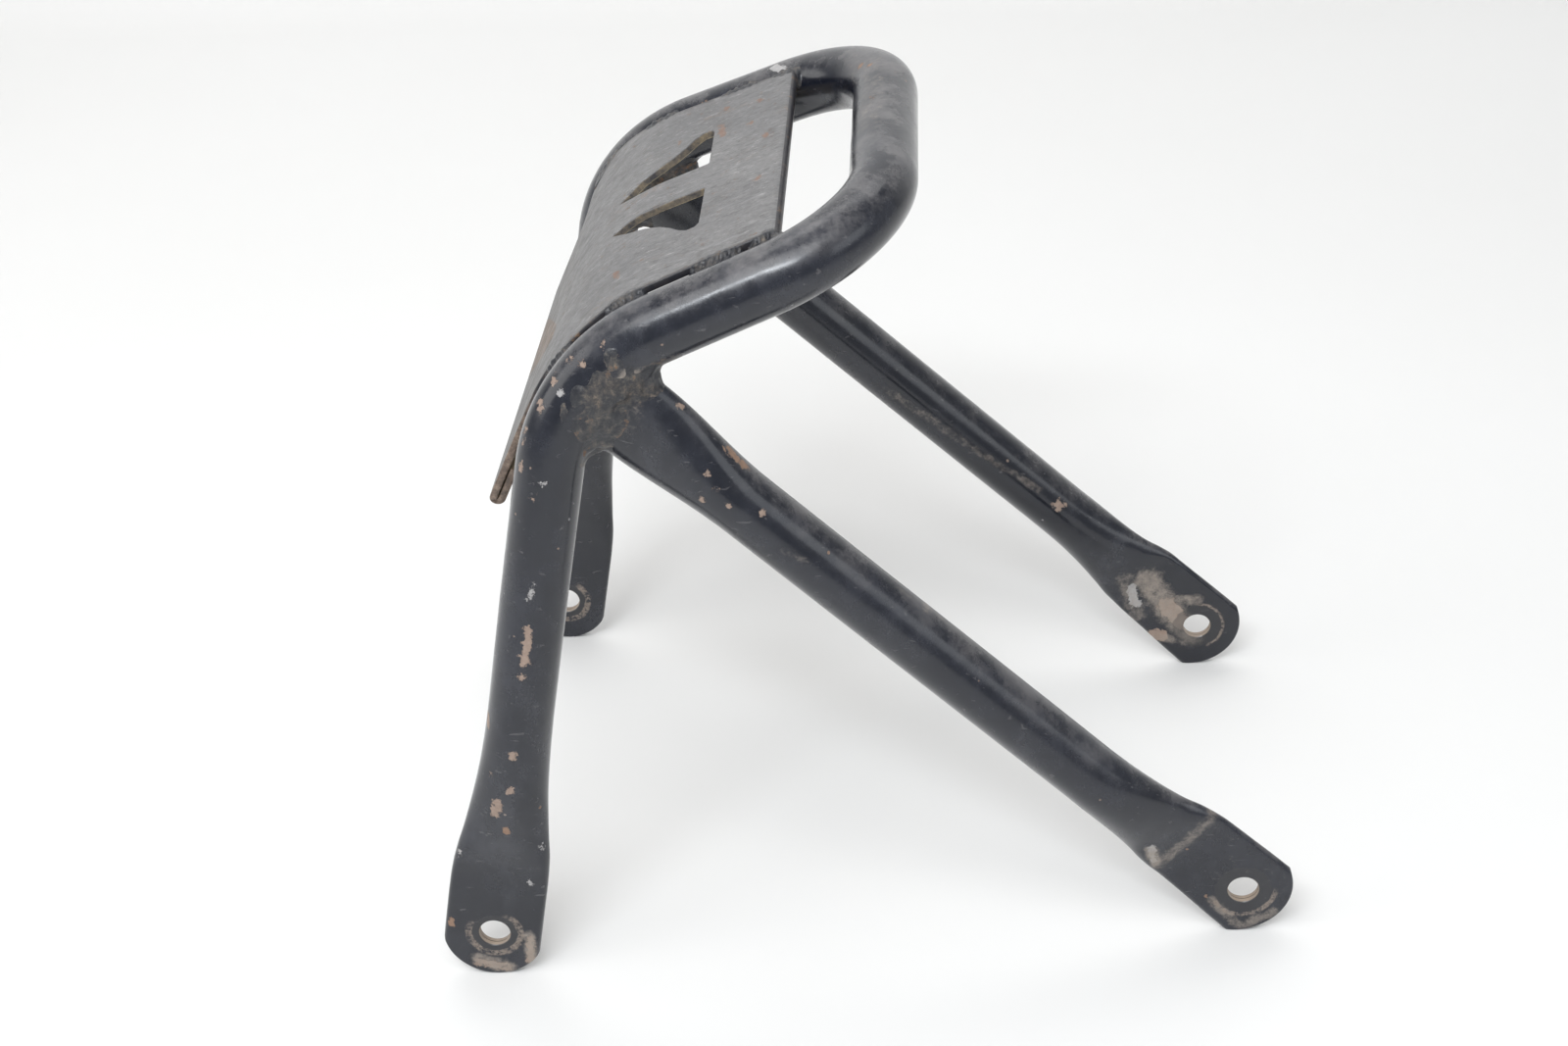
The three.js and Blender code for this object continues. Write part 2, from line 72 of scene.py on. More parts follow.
def mix(a, b, t):
    return a + (b - a) * t


def smooth(t):
    u = min(1.0, max(0.0, t))
    return u * u * (3 - 2 * u)


def unit(v):
    v = np.asarray(v, float)
    return v / np.linalg.norm(v)


def squeezed(t):
    full = FOOT_T + math.pi * (TUBE_D - FOOT_T) / 2
    k = mix(1.0, (FOOT_W - FOOT_T) / (full - FOOT_T), (TUBE_D - t) / (TUBE_D - FOOT_T))
    return t + math.pi * (TUBE_D - t) / 2 * k


def table(rows, x, col):
    """Smooth monotone interpolation in a table of rows sorted by their first value."""
    r = np.array(rows, float)
    X, Y = r[:, 0], r[:, col]
    x = min(max(x, X[0]), X[-1])
    h, d = np.diff(X), np.diff(Y) / np.diff(X)
    m = np.zeros(len(X))
    m[0], m[-1] = d[0], d[-1]
    for k in range(1, len(X) - 1):
        if d[k - 1] * d[k] > 0:
            w1, w2 = 2 * h[k] + h[k - 1], h[k] + 2 * h[k - 1]
            m[k] = (w1 + w2) / (w1 / d[k - 1] + w2 / d[k])
    k = int(min(max(np.searchsorted(X, x) - 1, 0), len(h) - 1))
    t = (x - X[k]) / h[k]
    return float(Y[k] * (2 * t ** 3 - 3 * t ** 2 + 1) + m[k] * h[k] * (t ** 3 - 2 * t ** 2 + t)
                 + Y[k + 1] * (3 * t ** 2 - 2 * t ** 3) + m[k + 1] * h[k] * (t ** 3 - t ** 2))


def even(pts, n):
    """n points evenly spaced round a closed outline."""
    p = np.vstack([pts, pts[:1]])
    d = np.concatenate([[0], np.cumsum(np.linalg.norm(np.diff(p, axis=0), axis=1))])
    s = np.linspace(0, d[-1], n + 1)[:-1]
    return np.column_stack([np.interp(s, d, p[:, 0]), np.interp(s, d, p[:, 1])])


def section(W, T, n, flat):
    """Outline of a squeezed tube: flat 1 gives flats with round edges, 0 an oval."""
    f = np.linspace(0, 2 * math.pi, 361)[:-1]
    oval = np.column_stack([W / 2 * np.cos(f), T / 2 * np.sin(f)])
    c, q = np.cos(f), np.sin(f)
    box = np.column_stack([np.sign(np.round(c, 9)) * (W - T) / 2 + T / 2 * c, T / 2 * q])
    a, b = even(oval, n), even(box, n)
    return a + (b - a) * flat


def fillet(A, B, C, r, steps):
    A, B, C = (np.array(q, float) for q in (A, B, C))
    a, b = unit(A - B), unit(C - B)
    ang = math.acos(float(a @ b))
    t = r / math.tan(ang / 2)
    c = B + unit(a + b) * r / math.sin(ang / 2)
    e0, e1, w = B + a * t - c, B + b * t - c, math.pi - ang
    return [c + e0 * math.sin((1 - k / steps) * w) / math.sin(w) + e1 * math.sin(k / steps * w) / math.sin(w)
            for k in range(steps + 1)]


def frames(path):
    """path: (centre, T, direction or None[, W, offset]). Adds the section axes."""
    out, last = [], None
    for i, row in enumerate(path):
        c, T, d = row[:3]
        W, off = (row[3], row[4]) if len(row) > 3 else (squeezed(T), 0.0)
        if d is None:
            d = np.array(path[min(len(path) - 1, i + 1)][0], float) - np.array(path[max(0, i - 1)][0], float)
        d = unit(d)
        w = np.cross((0, 1, 0), d)
        if np.linalg.norm(w) < 0.25 and last is not None:
            w = last.copy()
        w = unit(w)
        last = w
        out.append((np.array(c, float) + w * off, w, unit(np.cross(d, w)), W, T))
    return out


def densify(path, step):
    """Adds points so that no two neighbours are further apart than step."""
    out = []
    for r0, r1 in zip(path, path[1:]):
        (c0, T0, d0), (c1, T1, d1) = r0[:3], r1[:3]
        c0, c1 = np.array(c0, float), np.array(c1, float)
        n = max(1, int(math.ceil(np.linalg.norm(c1 - c0) / step)))
        for k in range(n):
            d = d0 if (d0 is not None and (k == 0 or d1 is not None)) else None
            out.append((c0 + (c1 - c0) * k / n, mix(T0, T1, k / n), d))
    out.append(path[-1])
    return out


def mesh_object(name, verts, faces):
    me = bpy.data.meshes.new(name)
    me.from_pydata([(x * MM, y * MM, z * MM) for x, y, z in verts], [], faces)
    me.validate()
    me.update()
    bm = bmesh.new()
    bm.from_mesh(me)
    bmesh.ops.recalc_face_normals(bm, faces=bm.faces)
    bm.to_mesh(me)
    bm.free()
    ob = bpy.data.objects.new(name, me)
    bpy.context.scene.collection.objects.link(ob)
    return ob


def loft(name, rings, shift=True):
    """Closed solid through rings of equal point counts, with flat end caps."""
    n = len(rings[0])
    verts = [(p[0] + (SHIFT if shift else 0), p[1], p[2] + (LIFT if shift else 0)) for r in rings for p in r]
    faces = []
    for i in range(len(rings) - 1):
        for j in range(n):
            k = (j + 1) % n
            faces.append((i * n + j, i * n + k, (i + 1) * n + k, (i + 1) * n + j))
    faces.append(tuple(range(n - 1, -1, -1)))
    last = (len(rings) - 1) * n
    faces.append(tuple(last + j for j in range(n)))
    return mesh_object(name, verts, faces)


def boolean(ob, cutters, op="DIFFERENCE"):
    for c in cutters:
        m = ob.modifiers.new("cut", "BOOLEAN")
        m.operation, m.object = op, c
        try:
            m.solver = "MANIFOLD"
        except TypeError:
            m.solver = "EXACT"
    bpy.context.view_layer.update()
    dg = bpy.context.evaluated_depsgraph_get()
    me = bpy.data.meshes.new_from_object(ob.evaluated_get(dg))
    ob.modifiers.clear()
    old = ob.data
    ob.data = me
    bpy.data.meshes.remove(old)
    for c in cutters:
        m = c.data
        bpy.data.objects.remove(c)
        bpy.data.meshes.remove(m)


def shade(ob, angle=35):
    for p in ob.data.polygons:
        p.use_smooth = True
    ob.data.set_sharp_from_angle(angle=math.radians(angle))


def levels(name, outlines):
    """Solid through outlines [(y, [(x, z), ...]), ...] stacked along Y."""
    return loft(name, [[(x, y, z) for x, z in pts] for y, pts in outlines])


def hole_cutter(x, y, z, half):
    def ring(r):
        return [(x + r * math.cos(2 * math.pi * k / 64), z + r * math.sin(2 * math.pi * k / 64)) for k in range(64)]
    c = 0.35
    return levels("cutter", [(y - 12, ring(HOLE_R + c)), (y - half, ring(HOLE_R + c)), (y - half + c, ring(HOLE_R)),
                             (y + half - c, ring(HOLE_R)), (y + half, ring(HOLE_R + c)), (y + 12, ring(HOLE_R + c))])


def end_cutter(x, z, along, y, half, a0, b0, r0):
    """Trims a foot's end to an arc centred a0 along and b0 across from the bolt axis."""
    ax, az = along
    bx, bz = -az, ax

    def ring(r):
        pts = [(-40, 0), (-40, 40), (40, 40), (40, 0)]
        pts += [(r * math.cos(math.pi * k / 48), r * math.sin(math.pi * k / 48)) for k in range(49)]
        return [(x + bx * (p + b0) + ax * (q + a0), z + bz * (p + b0) + az * (q + a0)) for p, q in pts]
    c = 0.45
    return levels("cutter", [(y - 15, ring(r0 - c)), (y - half, ring(r0 - c)), (y - half + c, ring(r0)),
                             (y + half - c, ring(r0)), (y + half, ring(r0 - c)), (y + 15, ring(r0 - c))])


def slit_cutter(x, z, along, y, back):
    """The thin gap between the two pressed layers of a foot."""
    ax, az = along
    bx, bz = -az, ax
    pts = [(-14.6, -back), (14.6, -back), (14.6, 40), (-14.6, 40)]
    o = [(x + bx * p + ax * q, z + bz * p + az * q) for p, q in pts]
    return levels("cutter", [(y - 0.14, o), (y + 0.14, o)])


# ---------------------------------------------------------------- hoop tube
SX = (BEND[0] - LEG_A[0]) / (BEND[2] - LEG_A[2])
SY = (BEND[1] - LEG_A[1]) / (BEND[2] - LEG_A[2])


def leg_x(z):
    return LEG_A[0] + SX * (z - LEG_A[2])


def leg_y(z):
    if z >= ROUND_Z:
        return LEG_A[1] + SY * (z - LEG_A[2])
    if z <= FLAT_Z:
        return FRONT_HOLE_Y
    h, s = ROUND_Z - FLAT_Z, (z - FLAT_Z) / (ROUND_Z - FLAT_Z)
    yr = LEG_A[1] + SY * (ROUND_Z - LEG_A[2])
    return FRONT_HOLE_Y * (2 * s ** 3 - 3 * s ** 2 + 1) + yr * (3 * s ** 2 - 2 * s ** 3) + SY * h * (s ** 3 - s ** 2)


LEG = [(-8, 34.4, -0.65, 3.7), (30, 34.2, -0.6, 3.7), (40, 34.0, -0.5, 3.75), (46.7, 33.4, -0.35, 4.6), (53.6, 32.1, -0.1, 6.9),
       (61.4, 29.7, 0.05, 10.4), (71.3, 27.1, 0.15, 14.1), (81.1, 24.9, 0.2, 17.7), (92, 23.3, 0.3, 20.2), (101.7, 22.5, 0.3, 21.7), (110.6, 22.2, 0.25, 22.2), (150, 22.2, 0, 22.2)]
STRUT = [(-24, 17.2, 18.4, 3.7), (-8.5, 17.2, 17.6, 3.7), (0, 17.2, 17.3, 3.7), (14, 17.0, 16.5, 3.7), (25, 16.8, 16.0, 3.75), (30, 16.6, 15.8, 4.3),
         (37, 15.6, 15.4, 7.5), (44, 13.8, 14.2, 11.5), (52, 12.6, 13.0, 15.5), (60, 11.9, 12.1, 18.5), (69, 11.4, 11.5, 20.8), (78, 11.1, 11.2, 21.9), (88, 11.1, 11.1, 22.2)]


STEP = 1.2
SIDES = 96


def rings_of(stations, n=SIDES):
    out = []
    for c, w, t, W, T in stations:
        k = 1 - 0.92 * smooth((T - 4.0) / 8.0)
        out.append([c + w * a + t * b for a, b in section(W, T, n, k)])
    return out


def leg_row(z, d=None):
    return ((leg_x(z), -leg_y(z), z), table(LEG, z, 3), d, table(LEG, z, 1), table(LEG, z, 2))


def hoop_path():
    pts = [leg_row(z, (SX, 0, 1)) for z in np.arange(-7, 44.1, 2.1)]
    pts += [leg_row(z) for z in np.arange(45, 112, 1.2)]
    A = (leg_x(ROUND_Z), -leg_y(ROUND_Z), ROUND_Z)
    B, C = (BEND[0], -BEND[1], BEND[2]), (CORNER[0], -CORNER[1], CORNER[2])
    arc1 = [(q, TUBE_D, None, TUBE_D, 0.0) for q in fillet(A, B, C, BEND_R, 40)]
    arc2 = [(q, TUBE_D, None, TUBE_D, 0.0) for q in fillet(B, C, (CORNER[0], 0, CORNER[2]), CORNER_R, 44)]
    pts += [leg_row(z) for z in np.arange(112, arc1[0][0][2] - 1, 3.0)]
    pts += arc1
    n = 14
    pts += [(mix(np.array(arc1[-1][0]), np.array(arc2[0][0]), k / n), TUBE_D, None, TUBE_D, 0.0) for k in range(1, n)]
    pts += arc2
    end = np.array((CORNER[0], 0.0, CORNER[2]))
    pts += [(mix(np.array(arc2[-1][0]), end, k / n), TUBE_D, (0, 1, 0) if k == n else None, TUBE_D, 0.0) for k in range(1, n + 1)]
    return pts


half = frames(hoop_path())
flip = np.array([1, -1, 1.0])
hoop_stations = half + [(c * flip, w * flip, t * flip, W, T) for c, w, t, W, T in reversed(half[:-1])]
rings = rings_of(half)
rings += [[p * flip for p in r] for r in reversed(rings[:-1])]
hoop = loft("hoop_tube_worn", rings)
down = unit((-SX, -1))
cuts = []
for s in (-1, 1):
    y = s * FRONT_HOLE_Y
    cuts.append(end_cutter(leg_x(HOLE_Z), HOLE_Z, down, y, FOOT_T / 2 + 0.05, 1.2, -0.4, 17.7))
    cuts.append(hole_cutter(leg_x(HOLE_Z), y, HOLE_Z, FOOT_T / 2))
    cuts.append(slit_cutter(leg_x(HOLE_Z), HOLE_Z, down, y, 16))
boolean(hoop, cuts)
shade(hoop)

# ------------------------------------------------------------------- struts
SD = unit((REAR_HOLE_X - STRUT_LOW[0], HOLE_Z - STRUT_LOW[2]))
FOOT = np.array((REAR_HOLE_X, HOLE_Z))
LEN = float(np.linalg.norm(FOOT - np.array((STRUT_TOP[0], 219.9))))
SLOPE = (STRUT_LOW[1] - STRUT_TOP[1]) / (LEN - float(np.linalg.norm(FOOT - np.array((STRUT_LOW[0], STRUT_LOW[2])))))


TOP_W, TOP_T = 30.4, 14.0


def strut_at(q):
    x, z = FOOT - SD * q
    y = STRUT_TOP[1] + SLOPE * (LEN - q) - 3.1 * smooth((74 - q) / 40)
    if q < 34:
        y = mix(STRUT_TOP[1] + SLOPE * (LEN - 34) - 3.1, REAR_HOLE_Y, smooth((34 - q) / 9))
    up, low, T = table(STRUT, q, 1), table(STRUT, q, 2), table(STRUT, q, 3)
    if q > LEN - 56:
        k = smooth((q - (LEN - 56)) / 46)
        T, up, low = mix(TUBE_D, TOP_T, k), mix(11.1, TOP_W / 2, k), mix(11.1, TOP_W / 2, k)
    return ((x, -y, z), T, (SD[0], -(0 if q < 74 else 0.016), SD[1]), up + low, (low - up) / 2)


def strut_mesh(name, side):
    qs = list(np.arange(LEN + 9.1, LEN - 56, -1.3)) + list(np.arange(LEN - 56, 90, -2.5)) + list(np.arange(90, -22, -1.1))
    rings = rings_of(frames([strut_at(q) for q in qs]))
    if side > 0:
        rings = [[p * flip for p in r] for r in rings]
    ob = loft(name, rings)
    y = side * REAR_HOLE_Y
    boolean(ob, [end_cutter(FOOT[0], FOOT[1], SD, y, FOOT_T / 2 + 0.05, -2.7, -1.0, 20.0),
                 hole_cutter(FOOT[0], y, FOOT[1], FOOT_T / 2),
                 slit_cutter(FOOT[0], FOOT[1], SD, y, 16)])
    shade(ob)
    return ob


left_strut = strut_mesh("left_strut_worn", -1)
right_strut = strut_mesh("right_strut_worn", 1)

# --------------------------------------------------------------------- deck
d1, d2 = unit(np.subtract(KNEE_A, DECK_FRONT)), unit(np.subtract(DECK_REAR, KNEE_B))
n1, n2 = np.array((d1[1], -d1[0])), np.array((d2[1], -d2[0]))   # into the sheet
HR = SHEET + HEM_GAP / 2
fc = np.array(DECK_FRONT) + d1 * HR + n1 * HR
rc = np.array(DECK_REAR) - d2 * HR + n2 * HR
L0 = HEM_FRONT
L1 = math.pi * HR                       # outer length of a hem's fold
L2 = float(np.linalg.norm(np.array(KNEE_A) - (fc - n1 * HR)))
F0 = math.atan2(KNEE_A[1] - BEND_C[1], KNEE_A[0] - BEND_C[0])
F1 = math.atan2(KNEE_B[1] - BEND_C[1], KNEE_B[0] - BEND_C[0])
L3 = KNEE_R * (F0 - F1)
L4 = float(np.linalg.norm((rc - n2 * HR) - np.array(KNEE_B)))
SUM = np.cumsum([L0, L1, L2, L3, L4, L1, HEM_REAR])


def deck_point(s, h):
    """Side view position at length s along the sheet's outer face, h below it."""
    if s <= SUM[0]:
        p = fc + n1 * (HR - h) + d1 * (SUM[0] - s)
        return p
    if s <= SUM[1]:
        f = (s - SUM[0]) / HR
        r = HR - h
        return fc + n1 * r * math.cos(f) - d1 * r * math.sin(f)
    if s <= SUM[2]:
        return fc - n1 * (HR - h) + d1 * (s - SUM[1])
    if s <= SUM[3]:
        f = F0 - (s - SUM[2]) / KNEE_R
        return np.array(BEND_C) + (KNEE_R - h) * np.array((math.cos(f), math.sin(f)))
    if s <= SUM[4]:
        return np.array(KNEE_B) + d2 * (s - SUM[3]) + n2 * h
    if s <= SUM[5]:
        f = (s - SUM[4]) / HR
        r = HR - h
        return rc - n2 * r * math.cos(f) + d2 * r * math.sin(f)
    return rc + n2 * (HR - h) - d2 * (s - SUM[5])


def rail_y(x):
    return BEND[1] + (x - BEND[0]) * (CORNER[1] - BEND[1]) / (CORNER[0] - BEND[0])


def deck_half(s):
    x = float(deck_point(s, 0)[0])
    if s > SUM[4] + L1 * 0.5:
        x = float(deck_point(SUM[4] + L1 * 0.5, 0)[0])
        return rail_y(x) - RAIL_OFFSET - 2.2 * smooth((s - SUM[4] - L1 * 0.4) / 2.0)
    if s < SUM[1]:
        return DECK_HALF - 0.8 * smooth((SUM[1] - s) / 6)
    a = DECK_HALF
    b = rail_y(x) - RAIL_OFFSET
    return mix(a, b, smooth((x - 42) / 14))


def deck_ring(s):
    w, c = deck_half(s), 0.45
    pts = []
    ny = 100
    loop = [(-w, 1)] if False else []
    top = [(-w + c + (2 * w - 2 * c) * k / ny, 0.0) for k in range(ny + 1)]
    right = [(w - c + c * math.sin(f), c - c * math.cos(f)) for f in (math.pi / 6, math.pi / 3)] + [(w, c), (w, SHEET - c)] + \
            [(w - c + c * math.cos(f), SHEET - c + c * math.sin(f)) for f in (math.pi / 6, math.pi / 3)]
    bottom = [(w - c - (2 * w - 2 * c) * k / ny, SHEET) for k in range(ny + 1)]
    left = [(-w + c - c * math.sin(f), SHEET - c + c * math.cos(f)) for f in (math.pi / 6, math.pi / 3)] + [(-w, SHEET - c), (-w, c)] + \
           [(-w + c - c * math.cos(f), c - c * math.sin(f)) for f in (math.pi / 6, math.pi / 3)]
    for y, h in top + right + bottom + left:
        q = deck_point(s, h)
        # the front slope of the sheet is a little twisted
        k = smooth((SUM[3] - L3 * 0.55 - s) / 40.0)
        x = q[0] + k * (0.8 + 1.7 * y / 75.0)
        pts.append((x, y, q[1]))
    return pts


svals = list(np.arange(0, SUM[0], 2.0)) + list(np.linspace(SUM[0], SUM[1], 15)) + list(np.linspace(SUM[1], SUM[2], 26)[1:]) + \
        list(np.linspace(SUM[2], SUM[3], 45)[1:]) + list(np.linspace(SUM[3], SUM[4], 26)[1:]) + list(np.linspace(SUM[4], SUM[5], 15)[1:]) + \
        list(np.linspace(SUM[5], SUM[6], 6)[1:])
deck = loft("deck_sheet_worn", [deck_ring(s) for s in svals])

CUT = [(49.0, 12.6), (53.8, 10.4), (58.8, 9.6), (71.4, 9.8), (80.2, 9.9), (80.7, 10.5), (80.7, 37.2), (79.6, 39.2), (76.9, 39.6),
       (73.9, 36.8), (71.1, 32.6), (67.4, 28.2), (62.4, 24.4), (56.0, 20.6), (49.4, 13.6)]


def cut_cutter(side):
    def top_z(x):
        if x < KNEE_B[0]:
            return BEND_C[1] + math.sqrt(KNEE_R ** 2 - (x - BEND_C[0]) ** 2)
        return KNEE_B[1] + (x - KNEE_B[0]) * d2[1] / d2[0]
    cx, cy = 68.0, 20.0
    rings = []
    for dz, g in ((6, 0.55), (0.05, 0.55), (-0.55, 0.0), (-7, 0.0)):
        r = []
        for x, y in CUT:
            v = np.array((x - cx, y - cy))
            v = v * (1 + g / np.linalg.norm(v))
            X, Y = cx + v[0], cy + v[1]
            n = unit((-(top_z(X + 0.5) - top_z(X - 0.5)), 1.0))
            r.append((X + n[0] * dz, side * Y, top_z(X) + n[1] * dz))
        rings.append(r)
    return loft("cutter", rings)


boolean(deck, [cut_cutter(-1), cut_cutter(1)])
shade(deck, 30)

# -------------------------------------------------------------------- welds
# Each weld is the fillet left by a rounded blend of the two parts it joins.


def surface(F, origin, step):
    """Closed surface of F < 0 sampled on a grid."""
    F = F.copy()
    for ax in range(3):
        for e in (0, -1):
            i = [slice(None)] * 3
            i[ax] = e
            F[tuple(i)] = 1.0
    nx, ny, nz = F.shape
    total, count = np.zeros((nx - 1, ny - 1, nz - 1, 3)), np.zeros((nx - 1, ny - 1, nz - 1))
    corners = [(a, b, c) for a in (0, 1) for b in (0, 1) for c in (0, 1)]

    def at(o):
        return F[o[0]:nx - 1 + o[0], o[1]:ny - 1 + o[1], o[2]:nz - 1 + o[2]]
    for o in corners:
        for ax in range(3):
            if o[ax]:
                continue
            e = list(o)
            e[ax] = 1
            a, b = at(o), at(e)
            m = (a < 0) != (b < 0)
            t = np.where(m, a / np.where(m, a - b, 1.0), 0.0)
            for k in range(3):
                total[..., k] += np.where(m, o[k] + (t if k == ax else 0.0), 0.0)
            count += m
    ijk = np.argwhere(count > 0)
    index = -np.ones(count.shape, int)
    index[tuple(ijk.T)] = np.arange(len(ijk))
    pos = (ijk + total[tuple(ijk.T)] / count[tuple(ijk.T)][:, None]) * step + origin
    faces = []
    for ax in range(3):
        u, v = (ax + 1) % 3, (ax + 2) % 3
        lo, hi = [slice(None)] * 3, [slice(None)] * 3
        lo[ax], hi[ax] = slice(0, -1), slice(1, None)
        a, b = F[tuple(lo)] < 0, F[tuple(hi)] < 0
        for g in np.argwhere(a != b):
            q = []
            for du, dv in ((-1, -1), (0, -1), (0, 0), (-1, 0)):
                c = g.copy()
                c[u] += du
                c[v] += dv
                q.append(int(index[tuple(c)]))
            if min(q) < 0:
                continue
            faces.append(tuple(q if a[tuple(g)] else q[::-1]))
    return pos, faces


def tube_distance(P, path, radius):
    d = np.full(P.shape[:-1], 1e9)
    for a, b in zip(path, path[1:]):
        a, b = np.array(a, float), np.array(b, float)
        ab = b - a
        t = np.clip((P - a) @ ab / (ab @ ab), 0, 1)
        d = np.minimum(d, np.linalg.norm(P - a - t[..., None] * ab, axis=-1))
    return d - radius


def grid(lo, hi, step):
    ax = [np.arange(lo[k], hi[k] + step, step) for k in range(3)]
    return np.stack(np.meshgrid(*ax, indexing="ij"), axis=-1)


def lumps(P, size, seed):
    r = np.random.RandomState(seed)
    out = np.zeros(P.shape[:-1])
    for k in range(7):
        w = unit(r.normal(size=3)) * 2 * math.pi / (size * r.uniform(0.6, 1.7))
        out += np.sin(P @ w + r.uniform(0, 6.28))
    return out / 4.0


hoop_line = [r[0] for r in hoop_path() if r[0][2] > 130]


def strut_distance(P):
    q = (FOOT[0] - P[..., 0]) * SD[0] + (FOOT[1] - P[..., 2]) * SD[1]
    w = (P[..., 0] - FOOT[0]) * SD[1] - (P[..., 2] - FOOT[1]) * SD[0]
    t = P[..., 1] + (STRUT_TOP[1] + SLOPE * (LEN - q))
    k = np.clip((q - (LEN - 56)) / 46, 0, 1)
    k = k * k * (3 - 2 * k)
    a, b = 11.1 + (TOP_W / 2 - 11.1) * k, 11.1 + (TOP_T / 2 - 11.1) * k
    k0 = np.sqrt((w / a) ** 2 + (t / b) ** 2)
    k1 = np.sqrt((w / a ** 2) ** 2 + (t / b ** 2) ** 2)
    return np.maximum(k0 * (k0 - 1) / np.maximum(k1, 1e-6), q - LEN - 8.0), np.arctan2(t / b, w / a)


def blend(d1, d2, k):
    h = np.maximum(k - np.abs(d1 - d2), 0) / np.maximum(k, 1e-6)
    return np.minimum(d1, d2) - h * h * k / 4, h


def weld_object(name, F, lo, step, side, nodes):
    pos, faces = surface(F, np.array(lo, float), step)
    if side > 0:
        pos = pos * (1, -1, 1)
        faces = [f[::-1] for f in faces]
    ob = mesh_object(name, (pos + (SHIFT, 0, LIFT)).tolist(), faces)
    m = ob.modifiers.new("soft", "SMOOTH")
    m.factor, m.iterations = 0.5, 2
    for p in ob.data.polygons:
        p.use_smooth = True
    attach(ob, "root")
    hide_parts(*nodes)
    return ob


NET = 0.75
fills = []
lo = (30.0, -104.0, 170.0)
P = grid(lo, (96.0, -64.0, 242.0), NET)
da = tube_distance(P, hoop_line, TUBE_D / 2)
db, turn = strut_distance(P)
for side, word, seed in ((-1, "left", 5), (1, "right", 8)):
    d, h = blend(da, db, 9.4)
    ripple = 0.30 * np.sin(turn * 19 + lumps(P, 30, seed)) + 0.65 * lumps(P, 9, seed + 1) + 0.40 * lumps(P, 4.5, seed + 2)
    F = np.maximum(np.maximum(d + 0.14 - ripple * h, da - 9.3), db - 9.3)
    fills.append(weld_object(f"strut_weld_{word}", F, lo, NET, side,
                             [f"weld_strut_{word}_{k}" for k in ("outer_upper", "outer_lower", "inner")]))

sheet_s = np.linspace(SUM[1], SUM[4], 150)
sheet_line = np.array([deck_point(v, SHEET / 2) for v in sheet_s])
for tag, kind, v0, v1 in (("front", 0, 148, 137), ("bend", 0, 125, 113.5), ("mid", 1, 81, 96), ("rear", 1, 100, 111.5)):
    if kind == 0:
        f = np.radians(np.linspace(v0, v1, 9))
        cx, cz = BEND_C[0] + 67 * np.cos(f), BEND_C[1] + 67 * np.sin(f)
    else:
        cx = np.linspace(v0, v1, 9)
        cz = np.interp(cx, sheet_line[:, 0], sheet_line[:, 1])
    cy = -(BEND[1] + (np.maximum(cx, 42) - BEND[0]) * (CORNER[1] - BEND[1]) / (CORNER[0] - BEND[0]))
    lo = (cx.min() - 9, cy.min() - 2, cz.min() - 12)
    P = grid(lo, (cx.max() + 9, cy.max() + 19, cz.max() + 9), 0.55)
    near = np.full(P.shape[:-1], 1e9)
    for a, b in zip(sheet_line, sheet_line[1:]):
        ab = b - a
        X = P[..., [0, 2]] - a
        t = np.clip(X @ ab / (ab @ ab), 0, 1)
        near = np.minimum(near, np.linalg.norm(X - t[..., None] * ab, axis=-1))
    near -= SHEET / 2
    x = P[..., 0]
    k = np.clip((x - 42) / 14, 0, 1)
    k = k * k * (3 - 2 * k)
    rail = BEND[1] + (x - BEND[0]) * (CORNER[1] - BEND[1]) / (CORNER[0] - BEND[0]) - RAIL_OFFSET
    side_d = np.abs(P[..., 1]) - (DECK_HALF + (rail - DECK_HALF) * k)
    db = np.sqrt(np.maximum(near, 0) ** 2 + np.maximum(side_d, 0) ** 2) + np.minimum(np.maximum(near, side_d), 0)
    da = tube_distance(P, hoop_line, TUBE_D / 2)
    if kind == 0:
        u = (np.degrees(np.arctan2(P[..., 2] - BEND_C[1], P[..., 0] - BEND_C[0])) - (v0 + v1) / 2) / ((v0 - v1) / 2 + 1.2)
        run = u * (v0 - v1) / 2 * 1.17
    else:
        u = (x - (v0 + v1) / 2) / ((v1 - v0) / 2 + 1.5)
        run = u * (v1 - v0) / 2
    wide = 6.6 * np.sqrt(np.clip(1 - u ** 4, 0, 1))
    for side, word, seed in ((-1, "left", 21), (1, "right", 34)):
        d, h = blend(da, db, wide)
        ripple = 0.28 * np.sin(run * 2.9 + lumps(P, 14, seed)) + 0.30 * lumps(P, 6, seed + 3)
        F = np.maximum(np.maximum(d + 0.16 - ripple * h, np.maximum(da, db) - 6.7), (np.abs(u) - 1) * 6)
        fills.append(weld_object(f"deck_weld_{word}_{tag}", F, lo, 0.55, side, [f"weld_deck_{word}_{tag}"]))

# nothing reaches past the box of the solid parts
for ob in (hoop, left_strut, right_strut, deck):
    c = np.empty(len(ob.data.vertices) * 3)
    ob.data.vertices.foreach_get("co", c)
    c = np.clip(c.reshape(-1, 3), np.array(cad_box[0], float), np.array(cad_box[1], float))
    ob.data.vertices.foreach_set("co", c.ravel())
    ob.data.update()

for ob, node, slot in ((hoop, "main_hoop_tube", "tube_paint"), (left_strut, "left_strut_tube", "tube_paint"),
                       (right_strut, "right_strut_tube", "tube_paint"), (deck, "deck_plate", "deck_paint")):
    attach(ob, "root")
    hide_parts(node)

# ---------------------------------------------------------------- materials


